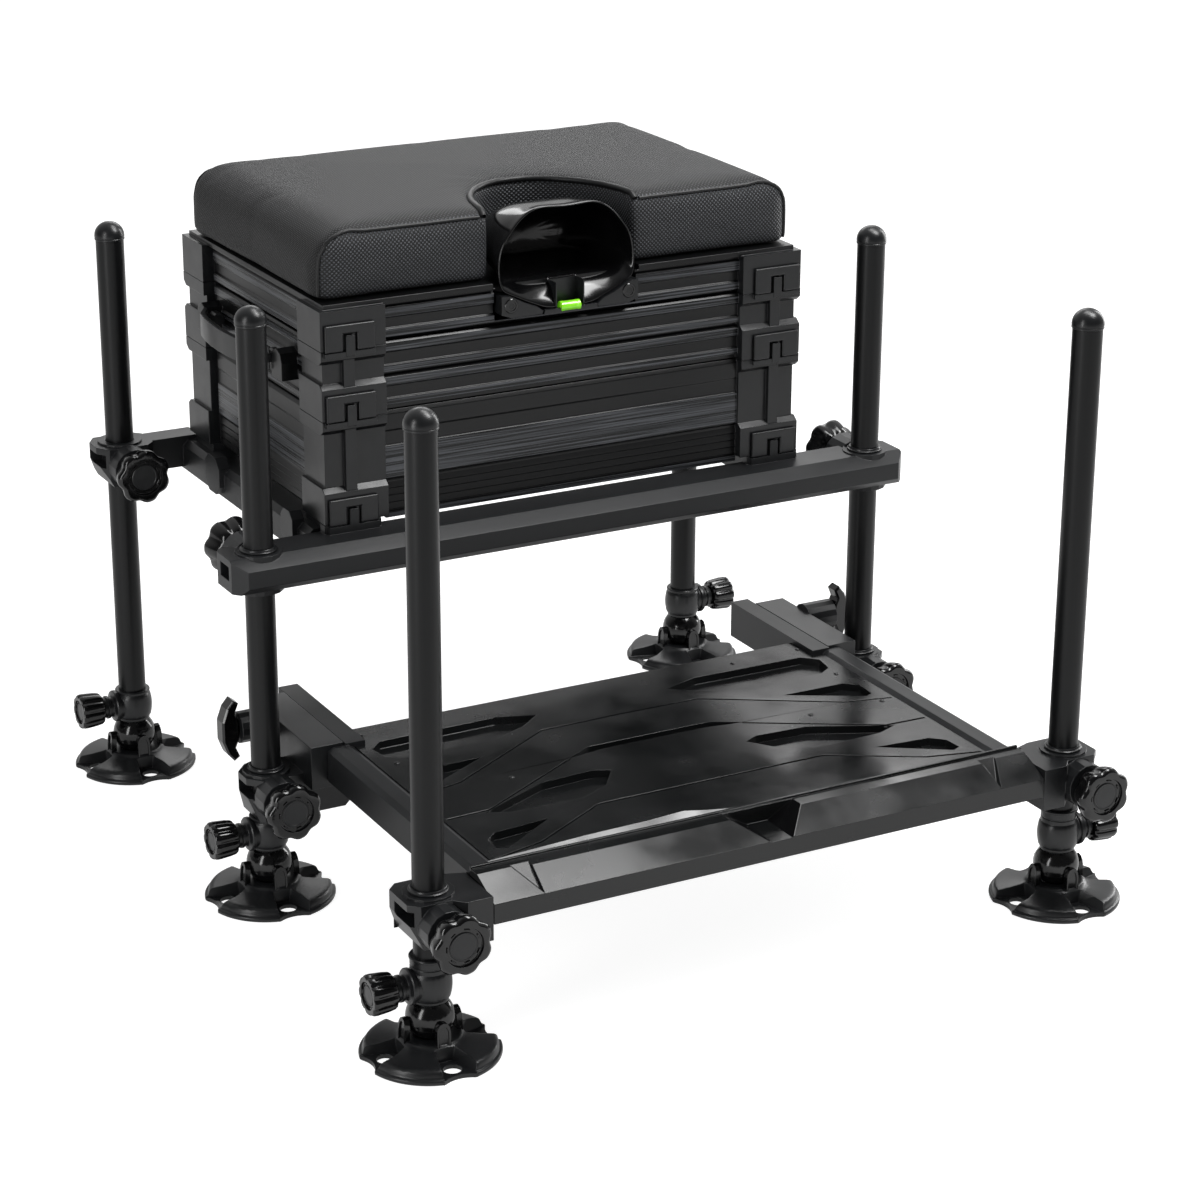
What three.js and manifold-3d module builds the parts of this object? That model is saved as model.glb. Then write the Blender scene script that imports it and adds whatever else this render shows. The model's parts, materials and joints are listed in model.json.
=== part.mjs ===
// Fishing seat box: a padded seat on two stacked tackle trays, carried by a frame on six
// telescopic legs, with a footplate that slides out in front. Sizes are in millimetres, +Z is
// up, the front faces -Y, and the origin is on the ground under the middle of the outline.
import * as THREE from 'three';
import { mergeVertices } from 'three/addons/utils/BufferGeometryUtils.js';
import Module from 'manifold-3d';

const wasm = await Module();
wasm.setup();

// Clearances
const gap = 0.3;
const overrun = 2;
const weld = 0.6;

// Facets on round forms
const tubeSides = 16;
const footSides = 16;
const sleeveSides = 12;
const ballSides = 12;
const boltSides = 8;
const shankSides = 6;

// Main sizes that the rest follows
const boxHalf = 231;
const boxDepth = 306;
const barBottom = 284;
const footplateReach = 318;
const deckTop = 140;

// Legs, seen from above, and their tubes
const legStandOff = 65.5;
const legX = boxHalf + legStandOff;
const midLegY = 0;
const boxSetBack = 12;
const boxFront = midLegY + boxSetBack;
const boxRear = boxFront + boxDepth;
const rearLegBehind = 7;
const rearLegY = boxRear + rearLegBehind;
const frontLegY = -footplateReach;
const legRadius = 12.5;
const legWall = 2;
const legTop = 521;
const legFoot = 54;
const capLength = 16;
const capLip = 0.8;
const domeShares = [[1, 0], [0.8, 0.65], [0, 1]];

// Clamps that hold the legs
const collarRadius = 20.25;
const clampReach = 22;
const clampBevel = 8;
const bossRadius = 19;
const bossReach = 38;
const jawWidth = 9;
const jawDepth = 12;
const jawHeight = 12;
const jawDrop = 12;
const underFoot = 14.5;
const underRise = 22;
const underShare = 0.2;

// Clamp knobs
const knobRadius = 24;
const knobLobes = 7;
const knobDip = 2.4;
const knobStart = 41;
const knobLength = 22;
const knobBevel = 1.6;
const knobCapRadius = 12.5;
const knobCapRise = 1.2;
const spindleRadius = 5;
const spindleRoot = 24;

// Front bar
const barPastLeg = 30.5;
const barHalf = legX + barPastLeg;
const barFront = -27;
const barBack = 28;
const barHeight = 28.5;
const barTop = barBottom + barHeight;
const barFall = 7.5;
const barSlope = 15;
const barBevel = 6;
const barCorner = 12;
const barWall = 3;
const barCastLength = 65;
const barCastHalf = barHalf - barCastLength;
const barSlot = 9;
const barCollarRise = 1.2;
const barCollarTop = barTop + barCollarRise;
const barCollarDrop = 4.5;
const barCollarBottom = barBottom - barCollarDrop;
const upperKnobRise = 16;
const upperKnobZ = barBottom + upperKnobRise;

// Side rails and the rear arms on them
const railUnder = 26;
const railInner = boxHalf - railUnder;
const railWidth = 35;
const railOuter = railInner + railWidth;
const railRaise = 2;
const railBottom = barBottom + railRaise;
const railHeight = 27;
const railTop = railBottom + railHeight;
const railBevel = 5;
const railWall = 3;
const railPad = 7;
const deepBase = railTop + railPad;
const railPastBox = 20;
const railEnd = boxRear + railPastBox;
const armDepth = 25;
const armFront = railEnd - armDepth;
const armRaise = 2;
const armBottom = railBottom + armRaise;
const armHeight = 29;
const armTop = armBottom + armHeight;
const armLap = 15;
const armInner = railOuter - armLap;
const blockInset = 26.5;
const blockInner = legX - blockInset;
const blockDrop = 7;
const blockBottom = armBottom - blockDrop;
const rearCollarRise = 2;
const rearCollarTop = armTop + rearCollarRise;
const rearBarHeight = 25;
const rearBarWall = 2.5;

// Clips on the rails, each a centre along Y, a half length, a bottom and a top
const clipLap = 6;
const clipInner = railOuter - clipLap;
const clipProud = 5;
const clipOuter = railOuter + clipProud;
const clipRise = 2;
const clipTop = deepBase + clipRise;
const rearClipFromRear = 87;
const rearClipRaise = 2;
const frontClipFromFront = 50.5;
const frontClipRaise = 6;
const rearClip = { centre: boxRear - rearClipFromRear, half: 17, bottom: railBottom + rearClipRaise };
const frontClip = { centre: boxFront + frontClipFromFront, half: 12.5,
  bottom: railBottom + frontClipRaise };

// Tray stack
const postWidth = 59;
const postDepth = 48;
const postRecess = 5;
const postSideRecess = 3;
const postSlope = 4;
const panelSetBack = 7.5;
const sideSetBack = 7;
const cornerWall = 15;
const floorWall = 4;
const stripWidth = 8;
const stripDepth = 4;
const ribDepth = 4;
const deepHeight = 90;
const shallowBase = deepBase + deepHeight;
const shallowHeight = 60;
const seatBase = shallowBase + shallowHeight;
const seatHeight = 33.7;
const seatTop = seatBase + seatHeight;
const blockRise = 27;
const lipDrop = 8;
const skirtDrop = 4.5;
const skirtWall = 4;
const postRibHalf = 5;
const seatBoard = 7;
const lipInset = 5;
const lipHeight = 4;

// Panel ribs: each pair is a share of the module's height and a share of the rib depth
const seatRibShares = [
  [0, 1], [0.1, 0], [0.29, 0], [0.33, 0.5], [0.57, 0.5], [0.6, 0], [0.84, 0], [0.89, 0.5], [1, 0.5],
];
const shallowRibShares = [
  [0, 1], [0.07, 1], [0.08, 0], [0.165, 0], [0.18, 0.45], [0.345, 0.45], [0.36, 0], [0.475, 0],
  [0.49, 0.4], [0.515, 1], [0.545, 1], [0.555, 0], [0.65, 0], [0.665, 0.45], [0.83, 0.45],
  [0.85, 0], [0.965, 0], [1, 0.45],
];
const deepRibShares = [
  [0, 0.6], [0.03, 0.2], [0.09, 0.45], [0.1, 0.2], [0.16, 0.45], [0.17, 0.2], [0.23, 0.45],
  [0.24, 0.2], [0.3, 0.45], [0.325, 0.4], [0.34, 0], [0.65, 0], [0.665, 0.3], [0.795, 0.3],
  [0.81, 0.12], [0.96, 0.12], [1, 0.6],
];

// Front latches and the catches that they close on
const latchInset = 25.5;
const latchX = boxHalf - latchInset;
const latchWidth = 45;
const latchHeight = 23;
const latchThick = 3.2;
const latchBevel = 0.8;
const latchDrop = 1;
const latchNotch = 13;
const latchNotchRise = 15;
const tabWidth = 8;
const tabRise = 12.5;
const ledgeHalf = 26;
const ledgeProud = 3;
const ledgeHeight = 4;

// Rear hinges of the modules
const hingeSetBack = 7.5;
const hingeY = boxRear + hingeSetBack;
const hingeRadius = 6.5;
const hingePin = 3;
const hingeHalf = 15;
const hingeCheek = 6;

// Side handles on the shallow tray
const handleRise = 35;
const handleZ = shallowBase + handleRise;
const handleProud = 1;
const handleX = boxHalf + handleProud;
const handleFromFront = 76;
const handleFrontY = boxFront + handleFromFront;
const handleFromRear = 62;
const handleRearY = boxRear - handleFromRear;
const lugRadius = 11;
const lugProud = 8;
const lugOuter = boxHalf + lugProud;
const lugDrop = 15.4;
const handlePin = 3;
const handlePinLength = 7;
const handleKnuckle = 6;
const knuckleLength = 12;
const handleBulge = 25;
const handleThick = 5;
const handleHeight = 20;
const handleRoot = 8;
const handleNeck = 8;
const handleSteps = 8;
const handleFullness = 0.45;

// Seat cushion
const cushionInset = 1;
const cushionHalf = boxHalf - cushionInset;
const cushionFrontInset = 12;
const cushionFront = boxFront + cushionFrontInset;
const cushionRearInset = 10;
const cushionRear = boxRear - cushionRearInset;
const cushionBottom = seatTop + lipHeight + gap;
const cushionThick = 60.5;
const cushionTop = cushionBottom + cushionThick;
const cushionCrown = 2.5;
const cushionRoll = 36;
const cushionEdge = 9;
const cushionTuck = 4;
const cushionCorner = 20;
const cushionDraw = 3;
const rollSteps = 7;
const cornerSteps = 4;

// Cut-out in the cushion and the hood that sits in it
const cutSteps = 20;
const hoodHalf = 66;
const cutClear = 4;
const cutHalf = hoodHalf + cutClear;
const hoodSetBack = 5.7;
const hoodFront = boxFront + hoodSetBack;
const hoodDepth = 92;
const cutRearClear = 12.3;
const cutDepth = hoodFront + hoodDepth + cutRearClear;
const hoodFloor = seatTop + gap;
const hoodProud = 0.5;
const hoodRise = cushionTop + hoodProud - hoodFloor;
const hoodWall = 3;
const hoodFootRise = 7;
const hoodFootBottom = seatBase + hoodFootRise;
const hoodFootProud = 3;
const hoodFootFront = boxFront - hoodFootProud;
const hoodFootDepth = 9;
const hoodFootBack = hoodFront + hoodFootDepth;
const sillBottomHalf = 28;
const sillTopHalf = 22.4;
const windowHalf = 14;
const windowRise = 9;
const windowBottom = hoodFootBottom + windowRise;
const windowHeight = 15;
const windowTop = windowBottom + windowHeight;
const windowDepth = 9;
const screwInset = 11;
const screwX = hoodHalf - screwInset;
const screwRise = 10;
const screwZ = hoodFootBottom + screwRise;
const screwRadius = 6;
const screwProud = 2;
const vialRadius = 4.8;
const vialHalf = 9.5;
const vialInset = 3.5;
const vialY = hoodFootFront + vialInset;
const vialRise = 4.5;
const vialZ = hoodFootBottom + vialRise;

// Hood mouth, right half from the floor to the middle: shares of the half width and of the rise
const mouthShares = [
  [1, 0], [0.99, 0.22], [0.955, 0.49], [0.85, 0.68], [0.68, 0.83], [0.41, 1], [0.2, 0.975],
  [0, 0.955],
];
// Full arch behind the mouth, with as many points as the mouth
const archShares = [
  [1, 0], [1, 0.25], [0.97, 0.5], [0.89, 0.7], [0.74, 0.85], [0.5, 0.95], [0.25, 0.99], [0, 1],
];
// Foot below the hood, right half from the bottom up: shares of the half width and of its height
const hoodFootShares = [[0.7, 0], [0.82, 0.25], [1, 0.75], [1, 1]];
// Hood stations: a share of the depth, a width share, a height share, and how much is full arch
const hoodStations = { depthShares: [0, 0.2, 0.45, 0.7, 0.9, 1],
  widthShares: [1, 0.97, 0.91, 0.76, 0.5, 0.26],
  heightShares: [1, 0.93, 0.88, 0.82, 0.68, 0.5],
  archBlendShares: [0, 0.8, 1, 1, 1, 1] };

// Foot sleeves, balls and lock knobs
const ballRadius = 19.5;
const ballZ = 32;
const ballPlay = 0.17;
const ballSteps = 4;
const neckRadius = 13.2;
const elbowBottom = 47;
const elbowSlope = 4;
const elbowHalf = 10;
const elbowRadius = 17.4;
const sleeveRadius = 15.4;
const sleeveTop = 76;
const frontSleeveTop = 85;
const lockZ = 61;
const lockFlangeRadius = 14;
const lockFlangeReach = 20;
const lockBossRadius = 9.5;
const lockBossReach = 30;
const lockGap = 1;
const lockStart = lockBossReach + lockGap;
const lockLength = 22;
const lockEnd = lockStart + lockLength;
const lockRadius = 16.5;
const lockRibs = 9;
const lockRibDepth = 1.4;
const lockSpindle = 4;
const lockSpindleDepth = 11;
const lockSpindleRoot = lockBossReach - lockSpindleDepth;

// Mud feet
const footRadius = 56;
const footRim = 4;
const petalInset = 3;
const petalRadius = footRadius - petalInset;
const petalEdge = 9.5;
const petalShoulder = 12;
const petalHub = 15;
const hubRadius = 29;
const socketRadius = 24;
const socketTop = 17.5;
const valleyStart = 25.5;
const valleyInner = 8;
const valleyOuter = 18;
const petals = 4;
const fingerTop = 38;
const fingerRoot = 15;
const fingerHalf = 6;

// Footplate: deck, front rail and side rails
const castingLap = 40.2;
const castingInner = legX - castingLap;
const sideRailOuter = castingInner - gap;
const sideRailWidth = 23.7;
const sideRailInner = sideRailOuter - sideRailWidth;
const deckHalf = sideRailInner - gap;
const slideLap = 10;
const slideInner = deckHalf - slideLap;
const slideRise = 4;
const slideTop = deckTop + slideRise;
const slideHeight = 34;
const slideBottom = slideTop - slideHeight;
const deckRearHalf = slideInner - gap;
const deckRearInset = 4;
const deckRear = midLegY - deckRearInset;
const deckShoulder = 36;
const deckShoulderY = deckRear - deckShoulder;
const deckShort = 12;
const deckFront = frontLegY + deckShort;
const deckThick = 11;
const deckBottom = deckTop - deckThick;
const pocketDepth = 7;
const grooveDepth = 2;
const grooveWidth = 2.2;
const noseReach = 31;
const noseFront = frontLegY - noseReach;
const noseDrop = 27;
const noseBottom = deckTop - noseDrop;
const noseCreaseDrop = 10;
const noseCrease = deckTop - noseCreaseDrop;
const noseRise = 3.1;
const noseTop = deckTop + noseRise;
const noseRake = 25.7;
const noseTopFront = noseFront + noseRake;
const ledgeRise = 5;
const ledgeTop = deckTop + ledgeRise;
const ledgeReach = 3;
const ledgeFront = deckFront - ledgeReach;
const noseHalf = sideRailOuter;
const noseWall = 3.5;
const sideRailDrop = 1;
const sideRailTop = deckTop - sideRailDrop;
const sideRailHeight = 27;
const sideRailBottom = sideRailTop - sideRailHeight;
const notchInset = 19.6;
const notchX = deckHalf - notchInset;
const notchLean = 16;
const notchBack = 2.5;
const notchDepth = 7;
const endDepth = 4;
const centreNotchTop = 27;
const centreNotchBottom = 9;
const centreNotchDepth = 12;
const sideTrimInset = 5;
const sideTrimRise = 3;
const sideRailShort = 3;
const sideRailRear = deckShoulderY + sideRailShort;
const slideWidth = 18;
const slideOuter = slideInner + slideWidth;
const slideLapLength = 20;
const slideFront = deckShoulderY - slideLapLength;
const slideWall = 3;
const tongueDepth = 5;
const tongueDrop = 9;
const tongueTop = deckTop - tongueDrop;
const tongueHeight = 10;
const tongueBottom = tongueTop - tongueHeight;

// Lower clamps on the middle legs, with the channels that the footplate slides in
const guideInner = slideOuter + gap + gap;
const guideWidth = 29.9;
const guideOuter = guideInner + guideWidth;
const guideClear = 1;
const guideFront = sideRailRear + guideClear;
const guideLength = 127;
const guideRear = guideFront + guideLength;
const slidePast = 14;
const slideRear = guideRear + slidePast;
const guideTop = slideTop + gap;
const guideFloor = 4;
const guideBottom = slideBottom - guideFloor;
const lowerClampLap = 10;
const lowerClampTop = guideBottom + lowerClampLap;
const lowerClampHeight = 38;
const lowerClampBottom = lowerClampTop - lowerClampHeight;
const lowerCollarRise = 2.5;
const lowerCollarTop = lowerClampTop + lowerCollarRise;
const lowerKnobRise = 22;
const lowerKnobZ = lowerClampBottom + lowerKnobRise;
const bracketInset = 3;
const bracketInner = slideInner + bracketInset;
const bracketClear = 2;
const bracketTop = slideBottom - bracketClear;
const bracketHalf = 20;
const wingFromRear = 37;
const wingY = guideRear - wingFromRear;
const wingDrop = 8;
const wingZ = slideTop - wingDrop;
const wingBossRadius = 14;
const wingBossLength = 29.5;
const wingBossReach = guideOuter + wingBossLength;
const wingGap = 1;
const wingStart = wingBossReach + wingGap;
const wingThick = 15;
const wingHalf = 28;
const wingHub = 9;
const wingCurl = 7;
const wingDepth = 15;
const wingShank = 5;
const wingShankDepth = 8.5;
const wingShankRoot = guideOuter - wingShankDepth;

// Front leg castings
const castingPastLeg = 24.5;
const castingOuter = legX + castingPastLeg;
const castingDrop = 3;
const castingTop = deckTop - castingDrop;
const castingHeight = 37;
const castingBottom = castingTop - castingHeight;
const castingLength = 26;
const castingRear = frontLegY + castingLength;
const frontCollarRise = 2;
const frontCollarTop = castingTop + frontCollarRise;
const frontKnobRise = 17.4;
const frontKnobZ = castingBottom + frontKnobRise;

// Materials
const satinBlack = new THREE.MeshStandardMaterial({ color: 0x2b2c2e, roughness: 0.5, metalness: 0.1 });
const tubeBlack = new THREE.MeshStandardMaterial({ color: 0x2e2e30, roughness: 0.42, metalness: 0.6 });
const glossBlack = new THREE.MeshStandardMaterial({ color: 0x141415, roughness: 0.22, metalness: 0 });
const trayBlack = new THREE.MeshStandardMaterial({ color: 0x28292b, roughness: 0.55, metalness: 0 });
const panelBlack = new THREE.MeshStandardMaterial({ color: 0x303133, roughness: 0.4, metalness: 0.5 });
const clothBlack = new THREE.MeshStandardMaterial({ color: 0x35373a, roughness: 0.8, metalness: 0 });
const vialGreen = new THREE.MeshStandardMaterial({ color: 0x8fe31e, roughness: 0.15, metalness: 0 });

// Solids from three.js geometry
function solid(geometry) {
  const bare = geometry.index ? geometry.toNonIndexed() : geometry.clone();
  bare.deleteAttribute('normal');
  bare.deleteAttribute('uv');
  const joined = mergeVertices(bare);
  const corners = joined.index.array;
  const kept = [];
  for (let i = 0; i < corners.length; i += 3) {
    const [a, b, c] = [corners[i], corners[i + 1], corners[i + 2]];
    if (a !== b && b !== c && c !== a) kept.push(a, b, c);
  }
  return new wasm.Manifold(new wasm.Mesh({
    numProp: 3,
    vertProperties: joined.attributes.position.array,
    triVerts: new Uint32Array(kept),
  }));
}

function geometryOf(body) {
  const mesh = body.getMesh();
  const geometry = new THREE.BufferGeometry();
  geometry.setAttribute('position', new THREE.BufferAttribute(mesh.vertProperties, 3));
  geometry.setIndex(new THREE.BufferAttribute(mesh.triVerts, 1));
  return geometry;
}

const join = (...bodies) => bodies.reduce((whole, body) => whole.add(body));
const cut = (body, ...tools) => tools.reduce((left, tool) => left.subtract(tool), body);

// The same shape on the other side of the middle plane
function mirrored(geometry) {
  const other = geometry.clone();
  other.scale(-1, 1, 1);
  const corners = other.index.array;
  for (let i = 0; i < corners.length; i += 3) {
    [corners[i], corners[i + 1]] = [corners[i + 1], corners[i]];
  }
  return other;
}

function block([x0, x1], [y0, y1], [z0, z1]) {
  const geometry = new THREE.BoxGeometry(x1 - x0, y1 - y0, z1 - z0);
  geometry.translate((x0 + x1) / 2, (y0 + y1) / 2, (z0 + z1) / 2);
  return solid(geometry);
}

function extruded(outline, length, bevel) {
  const shape = new THREE.Shape(outline.map(([a, b]) => new THREE.Vector2(a, b)));
  return new THREE.ExtrudeGeometry(shape, {
    depth: length - 2 * bevel,
    bevelEnabled: bevel > 0,
    bevelThickness: bevel,
    bevelSize: bevel,
    bevelOffset: -bevel,
    bevelSegments: 1,
    curveSegments: 1,
    steps: 1,
  }).translate(0, 0, bevel);
}

// Outline in Y and Z, run along X
function prismX(outline, [x0, x1], bevel = 0) {
  const geometry = extruded(outline, x1 - x0, bevel);
  geometry.rotateX(Math.PI / 2);
  geometry.rotateZ(Math.PI / 2);
  geometry.translate(x0, 0, 0);
  return solid(geometry);
}

// Outline in X and Z, run along Y
function prismY(outline, [y0, y1], bevel = 0) {
  const geometry = extruded(outline, y1 - y0, bevel);
  geometry.rotateX(Math.PI / 2);
  geometry.translate(0, y1, 0);
  return solid(geometry);
}

// Outline in X and Y, run along Z
function prismZ(outline, [z0, z1], bevel = 0) {
  const geometry = extruded(outline, z1 - z0, bevel);
  geometry.translate(0, 0, z0);
  return solid(geometry);
}

function circle(radius, sides, centreA = 0, centreB = 0) {
  const points = [];
  for (let i = 0; i < sides; i += 1) {
    const turn = (2 * Math.PI * (i + 0.5)) / sides;
    points.push([centreA + radius * Math.cos(turn), centreB + radius * Math.sin(turn)]);
  }
  return points;
}

const rodX = (radius, span, y, z, sides) => prismX(circle(radius, sides, y, z), span);
const rodY = (radius, span, x, z, sides) => prismY(circle(radius, sides, x, z), span);
const rodZ = (radius, span, x, y, sides) => prismZ(circle(radius, sides, x, y), span);

// A profile of [radius, height] pairs, from the bottom up, turned about +Z. A tube's facets
// line up with those of its bore, which circle() sets half a facet round.
function turned(profile, sides, turn = 0) {
  const points = profile.map(([r, z]) => new THREE.Vector2(r, z));
  const geometry = new THREE.LatheGeometry(points, sides, turn);
  geometry.rotateX(Math.PI / 2);
  return solid(geometry);
}

// Radius of a faceted bore that a faceted pin of that radius can turn in
const runningBore = (radius) => (radius + gap) / Math.cos(Math.PI / boltSides);

// Rings of as many points each, one after another along an axis, closed by flat ends
function lofted(rings, axis) {
  const count = rings[0].length;
  const positions = rings.flat(2);
  const corners = [];
  for (let ring = 0; ring + 1 < rings.length; ring += 1) {
    for (let i = 0; i < count; i += 1) {
      const next = (i + 1) % count;
      const [a, b] = [ring * count + i, ring * count + next];
      corners.push(a, b, b + count, a, b + count, a + count);
    }
  }
  const flat = rings[0].map(([x, y, z]) => (axis === 'y'
    ? new THREE.Vector2(z, x) : new THREE.Vector2(x, y)));
  const last = (rings.length - 1) * count;
  for (const [a, b, c] of THREE.ShapeUtils.triangulateShape(flat, [])) {
    corners.push(a, c, b);
    corners.push(last + a, last + b, last + c);
  }
  const geometry = new THREE.BufferGeometry();
  geometry.setAttribute('position', new THREE.Float32BufferAttribute(positions, 3));
  geometry.setIndex(corners);
  return solid(geometry);
}

// Clamp parts that every leg shares, around a leg at x and y
const collar = (x, y, span) => rodZ(collarRadius, span, x, y, tubeSides);
const legBore = (x, y, span) => rodZ(legRadius + gap, span, x, y, tubeSides);

// Boss for a clamp knob, on the side of the leg that facing (+1 or -1) points to along Y
function knobBoss(x, y, z, facing) {
  const ends = [y + facing * (clampReach - clampBevel), y + facing * bossReach];
  return rodY(bossRadius, ends.sort((a, b) => a - b), x, z, tubeSides);
}

function spindleBore(x, y, z, facing) {
  const ends = [y + facing * (spindleRoot - gap), y + facing * (bossReach + overrun)];
  return rodY(runningBore(spindleRadius), ends.sort((a, b) => a - b), x, z, boltSides);
}

// Jaw slot in the outer end of a clamp, which also opens to the front, below its top
function jaw(outerX, y, top) {
  const z = top - jawDrop;
  return block([outerX - jawDepth, outerX + overrun], [y - jawWidth * 2, y + jawWidth],
    [z - jawHeight / 2, z + jawHeight / 2]);
}

// Wedge that slopes the outer end of a clamp in towards its leg, below
function underCut(outerX, y, bottom) {
  const foot = legX + underFoot;
  const run = outerX - foot;
  const [low, high] = [bottom - underRise * underShare, bottom + underRise * (1 + underShare)];
  const end = outerX + run * underShare;
  return prismY([[foot - run * underShare, low], [end, low], [end, high]],
    [y - clampReach - overrun, y + clampReach + overrun]);
}

// Leg tube with its domed cap, standing on its own axis
function legTube() {
  const lip = legRadius + capLip;
  const shoulder = legTop - capLength;
  const inner = legRadius - legWall;
  const rise = capLength / 2;
  const dome = domeShares.map(([across, up]) => [lip * across, legTop - rise + rise * up]);
  const outer = turned([
    [0, legFoot], [legRadius, legFoot], [legRadius, shoulder], [lip, shoulder + capLip], ...dome,
  ], tubeSides, Math.PI / tubeSides);
  const hollow = rodZ(inner, [legFoot - overrun, shoulder - legWall], 0, 0, tubeSides);
  return cut(outer, hollow);
}

// Ball at a leg's foot, grown by a margin, with its facets turned about the tilt axis along X
function ball(margin) {
  const radius = ballRadius + margin;
  const profile = [];
  for (let i = 0; i <= ballSteps; i += 1) {
    const turn = Math.PI * (i / ballSteps - 1 / 2);
    const inside = i > 0 && i < ballSteps;
    profile.push(new THREE.Vector2(inside ? radius * Math.cos(turn) : 0, radius * Math.sin(turn)));
  }
  const geometry = new THREE.LatheGeometry(profile, ballSides);
  geometry.rotateZ(-Math.PI / 2);
  geometry.translate(0, 0, ballZ);
  return solid(geometry);
}

// Sleeve on a leg's foot: socket for the tube, boss for the lock knob on +X, and the ball
function footSleeve(top) {
  const body = turned([
    [0, ballZ], [neckRadius, ballZ + neckRadius / 2], [neckRadius, elbowBottom],
    [elbowRadius, elbowBottom + elbowSlope], [elbowRadius, lockZ + elbowHalf],
    [sleeveRadius, lockZ + elbowHalf + elbowSlope], [sleeveRadius, top], [0, top],
  ], sleeveSides);
  const flange = rodX(lockFlangeRadius, [legRadius + legWall, lockFlangeReach], 0, lockZ, sleeveSides);
  const boss = rodX(lockBossRadius, [legRadius + legWall, lockBossReach], 0, lockZ, sleeveSides);
  const socket = legBore(0, 0, [legFoot - gap, top + overrun]);
  const threaded = rodX(runningBore(lockSpindle), [lockSpindleRoot - gap, lockBossReach + overrun],
    0, lockZ, boltSides);
  return cut(join(body, ball(0), flange, boss), socket, threaded);
}

// Ribbed lock knob on the sleeve, its axis along +X
function lockKnob() {
  const rim = [];
  const steps = lockRibs * 2;
  for (let i = 0; i < steps; i += 1) {
    const turn = (2 * Math.PI * i) / steps;
    const radius = lockRadius - (i % 2) * lockRibDepth;
    rim.push([radius * Math.cos(turn), lockZ + radius * Math.sin(turn)]);
  }
  const grip = prismX(rim, [lockStart, lockEnd], knobBevel);
  const shank = rodX(lockSpindle, [lockSpindleRoot, lockStart + weld], 0, lockZ, shankSides);
  return join(grip, shank);
}

// Mud foot: disc, four raised petals, and a low cup with a finger in each valley round the ball
function mudFoot() {
  const disc = turned([
    [0, 0], [footRadius - footRim, 0], [footRadius, footRim / 2], [petalRadius, footRim],
    [petalRadius - footRim / 2, petalEdge], [petalRadius - petalEdge, petalShoulder],
    [hubRadius, petalHub], [socketRadius, petalHub], [socketRadius - footRim / 4, socketTop],
    [0, socketTop],
  ], footSides);
  const valleys = [];
  const fingers = [];
  for (let i = 0; i < petals; i += 1) {
    const turn = (2 * Math.PI * i) / petals;
    const corner = (along, across) => [
      along * Math.cos(turn) - across * Math.sin(turn), along * Math.sin(turn) + across * Math.cos(turn),
    ];
    valleys.push(prismZ([
      corner(valleyStart, -valleyInner), corner(footRadius + overrun, -valleyOuter),
      corner(footRadius + overrun, valleyOuter), corner(valleyStart, valleyInner),
    ], [footRim, petalHub + overrun]));
    fingers.push(prismZ([
      corner(fingerRoot, -fingerHalf), corner(valleyStart, -fingerHalf),
      corner(valleyStart, fingerHalf), corner(fingerRoot, fingerHalf),
    ], [footRim, fingerTop]));
  }
  const ballRoom = ball(ballRadius / Math.cos(Math.PI / ballSides) - ballRadius + ballPlay);
  return cut(join(cut(disc, ...valleys), ...fingers), ballRoom);
}

// Lobed clamp knob and its spindle, facing -Y from a leg's axis
function clampKnob() {
  const rim = [];
  const steps = knobLobes * 3;
  for (let i = 0; i < steps; i += 1) {
    const turn = (2 * Math.PI * i) / steps;
    const radius = knobRadius - (i % 3 === 0 ? knobDip : 0);
    rim.push([radius * Math.sin(turn), radius * Math.cos(turn)]);
  }
  const back = knobStart + knobLength - knobCapRise;
  const grip = prismY(rim, [-back, -knobStart], knobBevel);
  const cap = rodY(knobCapRadius, [-back - knobCapRise, -back + weld], 0, 0, boltSides);
  const shank = rodY(spindleRadius, [-knobStart - weld, -spindleRoot], 0, 0, shankSides);
  return join(grip, cap, shank);
}

// Wing screw that clamps the footplate's slide, its axis along +X
function wingScrew() {
  const outer = wingStart + wingThick;
  const inner = wingStart + wingHub / 3;
  const bow = [
    [wingStart, wingHub], [inner, wingHub + wingCurl], [inner - wingCurl / 2, wingHalf - wingCurl / 2],
    [wingStart + wingHub / 2, wingHalf], [outer - wingHub / 2, wingHalf - wingCurl],
    [outer, wingHub], [outer, -wingHub], [outer - wingHub / 2, wingCurl - wingHalf],
    [wingStart + wingHub / 2, -wingHalf], [inner - wingCurl / 2, wingCurl / 2 - wingHalf],
    [inner, -wingHub - wingCurl], [wingStart, -wingHub],
  ].map(([x, z]) => [x, wingZ + z]);
  const wing = prismY(bow, [wingY - wingDepth / 2, wingY + wingDepth / 2], knobBevel);
  const shank = rodX(wingShank, [wingShankRoot, wingStart + wingHub / 2], wingY, wingZ, shankSides);
  return join(wing, shank);
}

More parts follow.
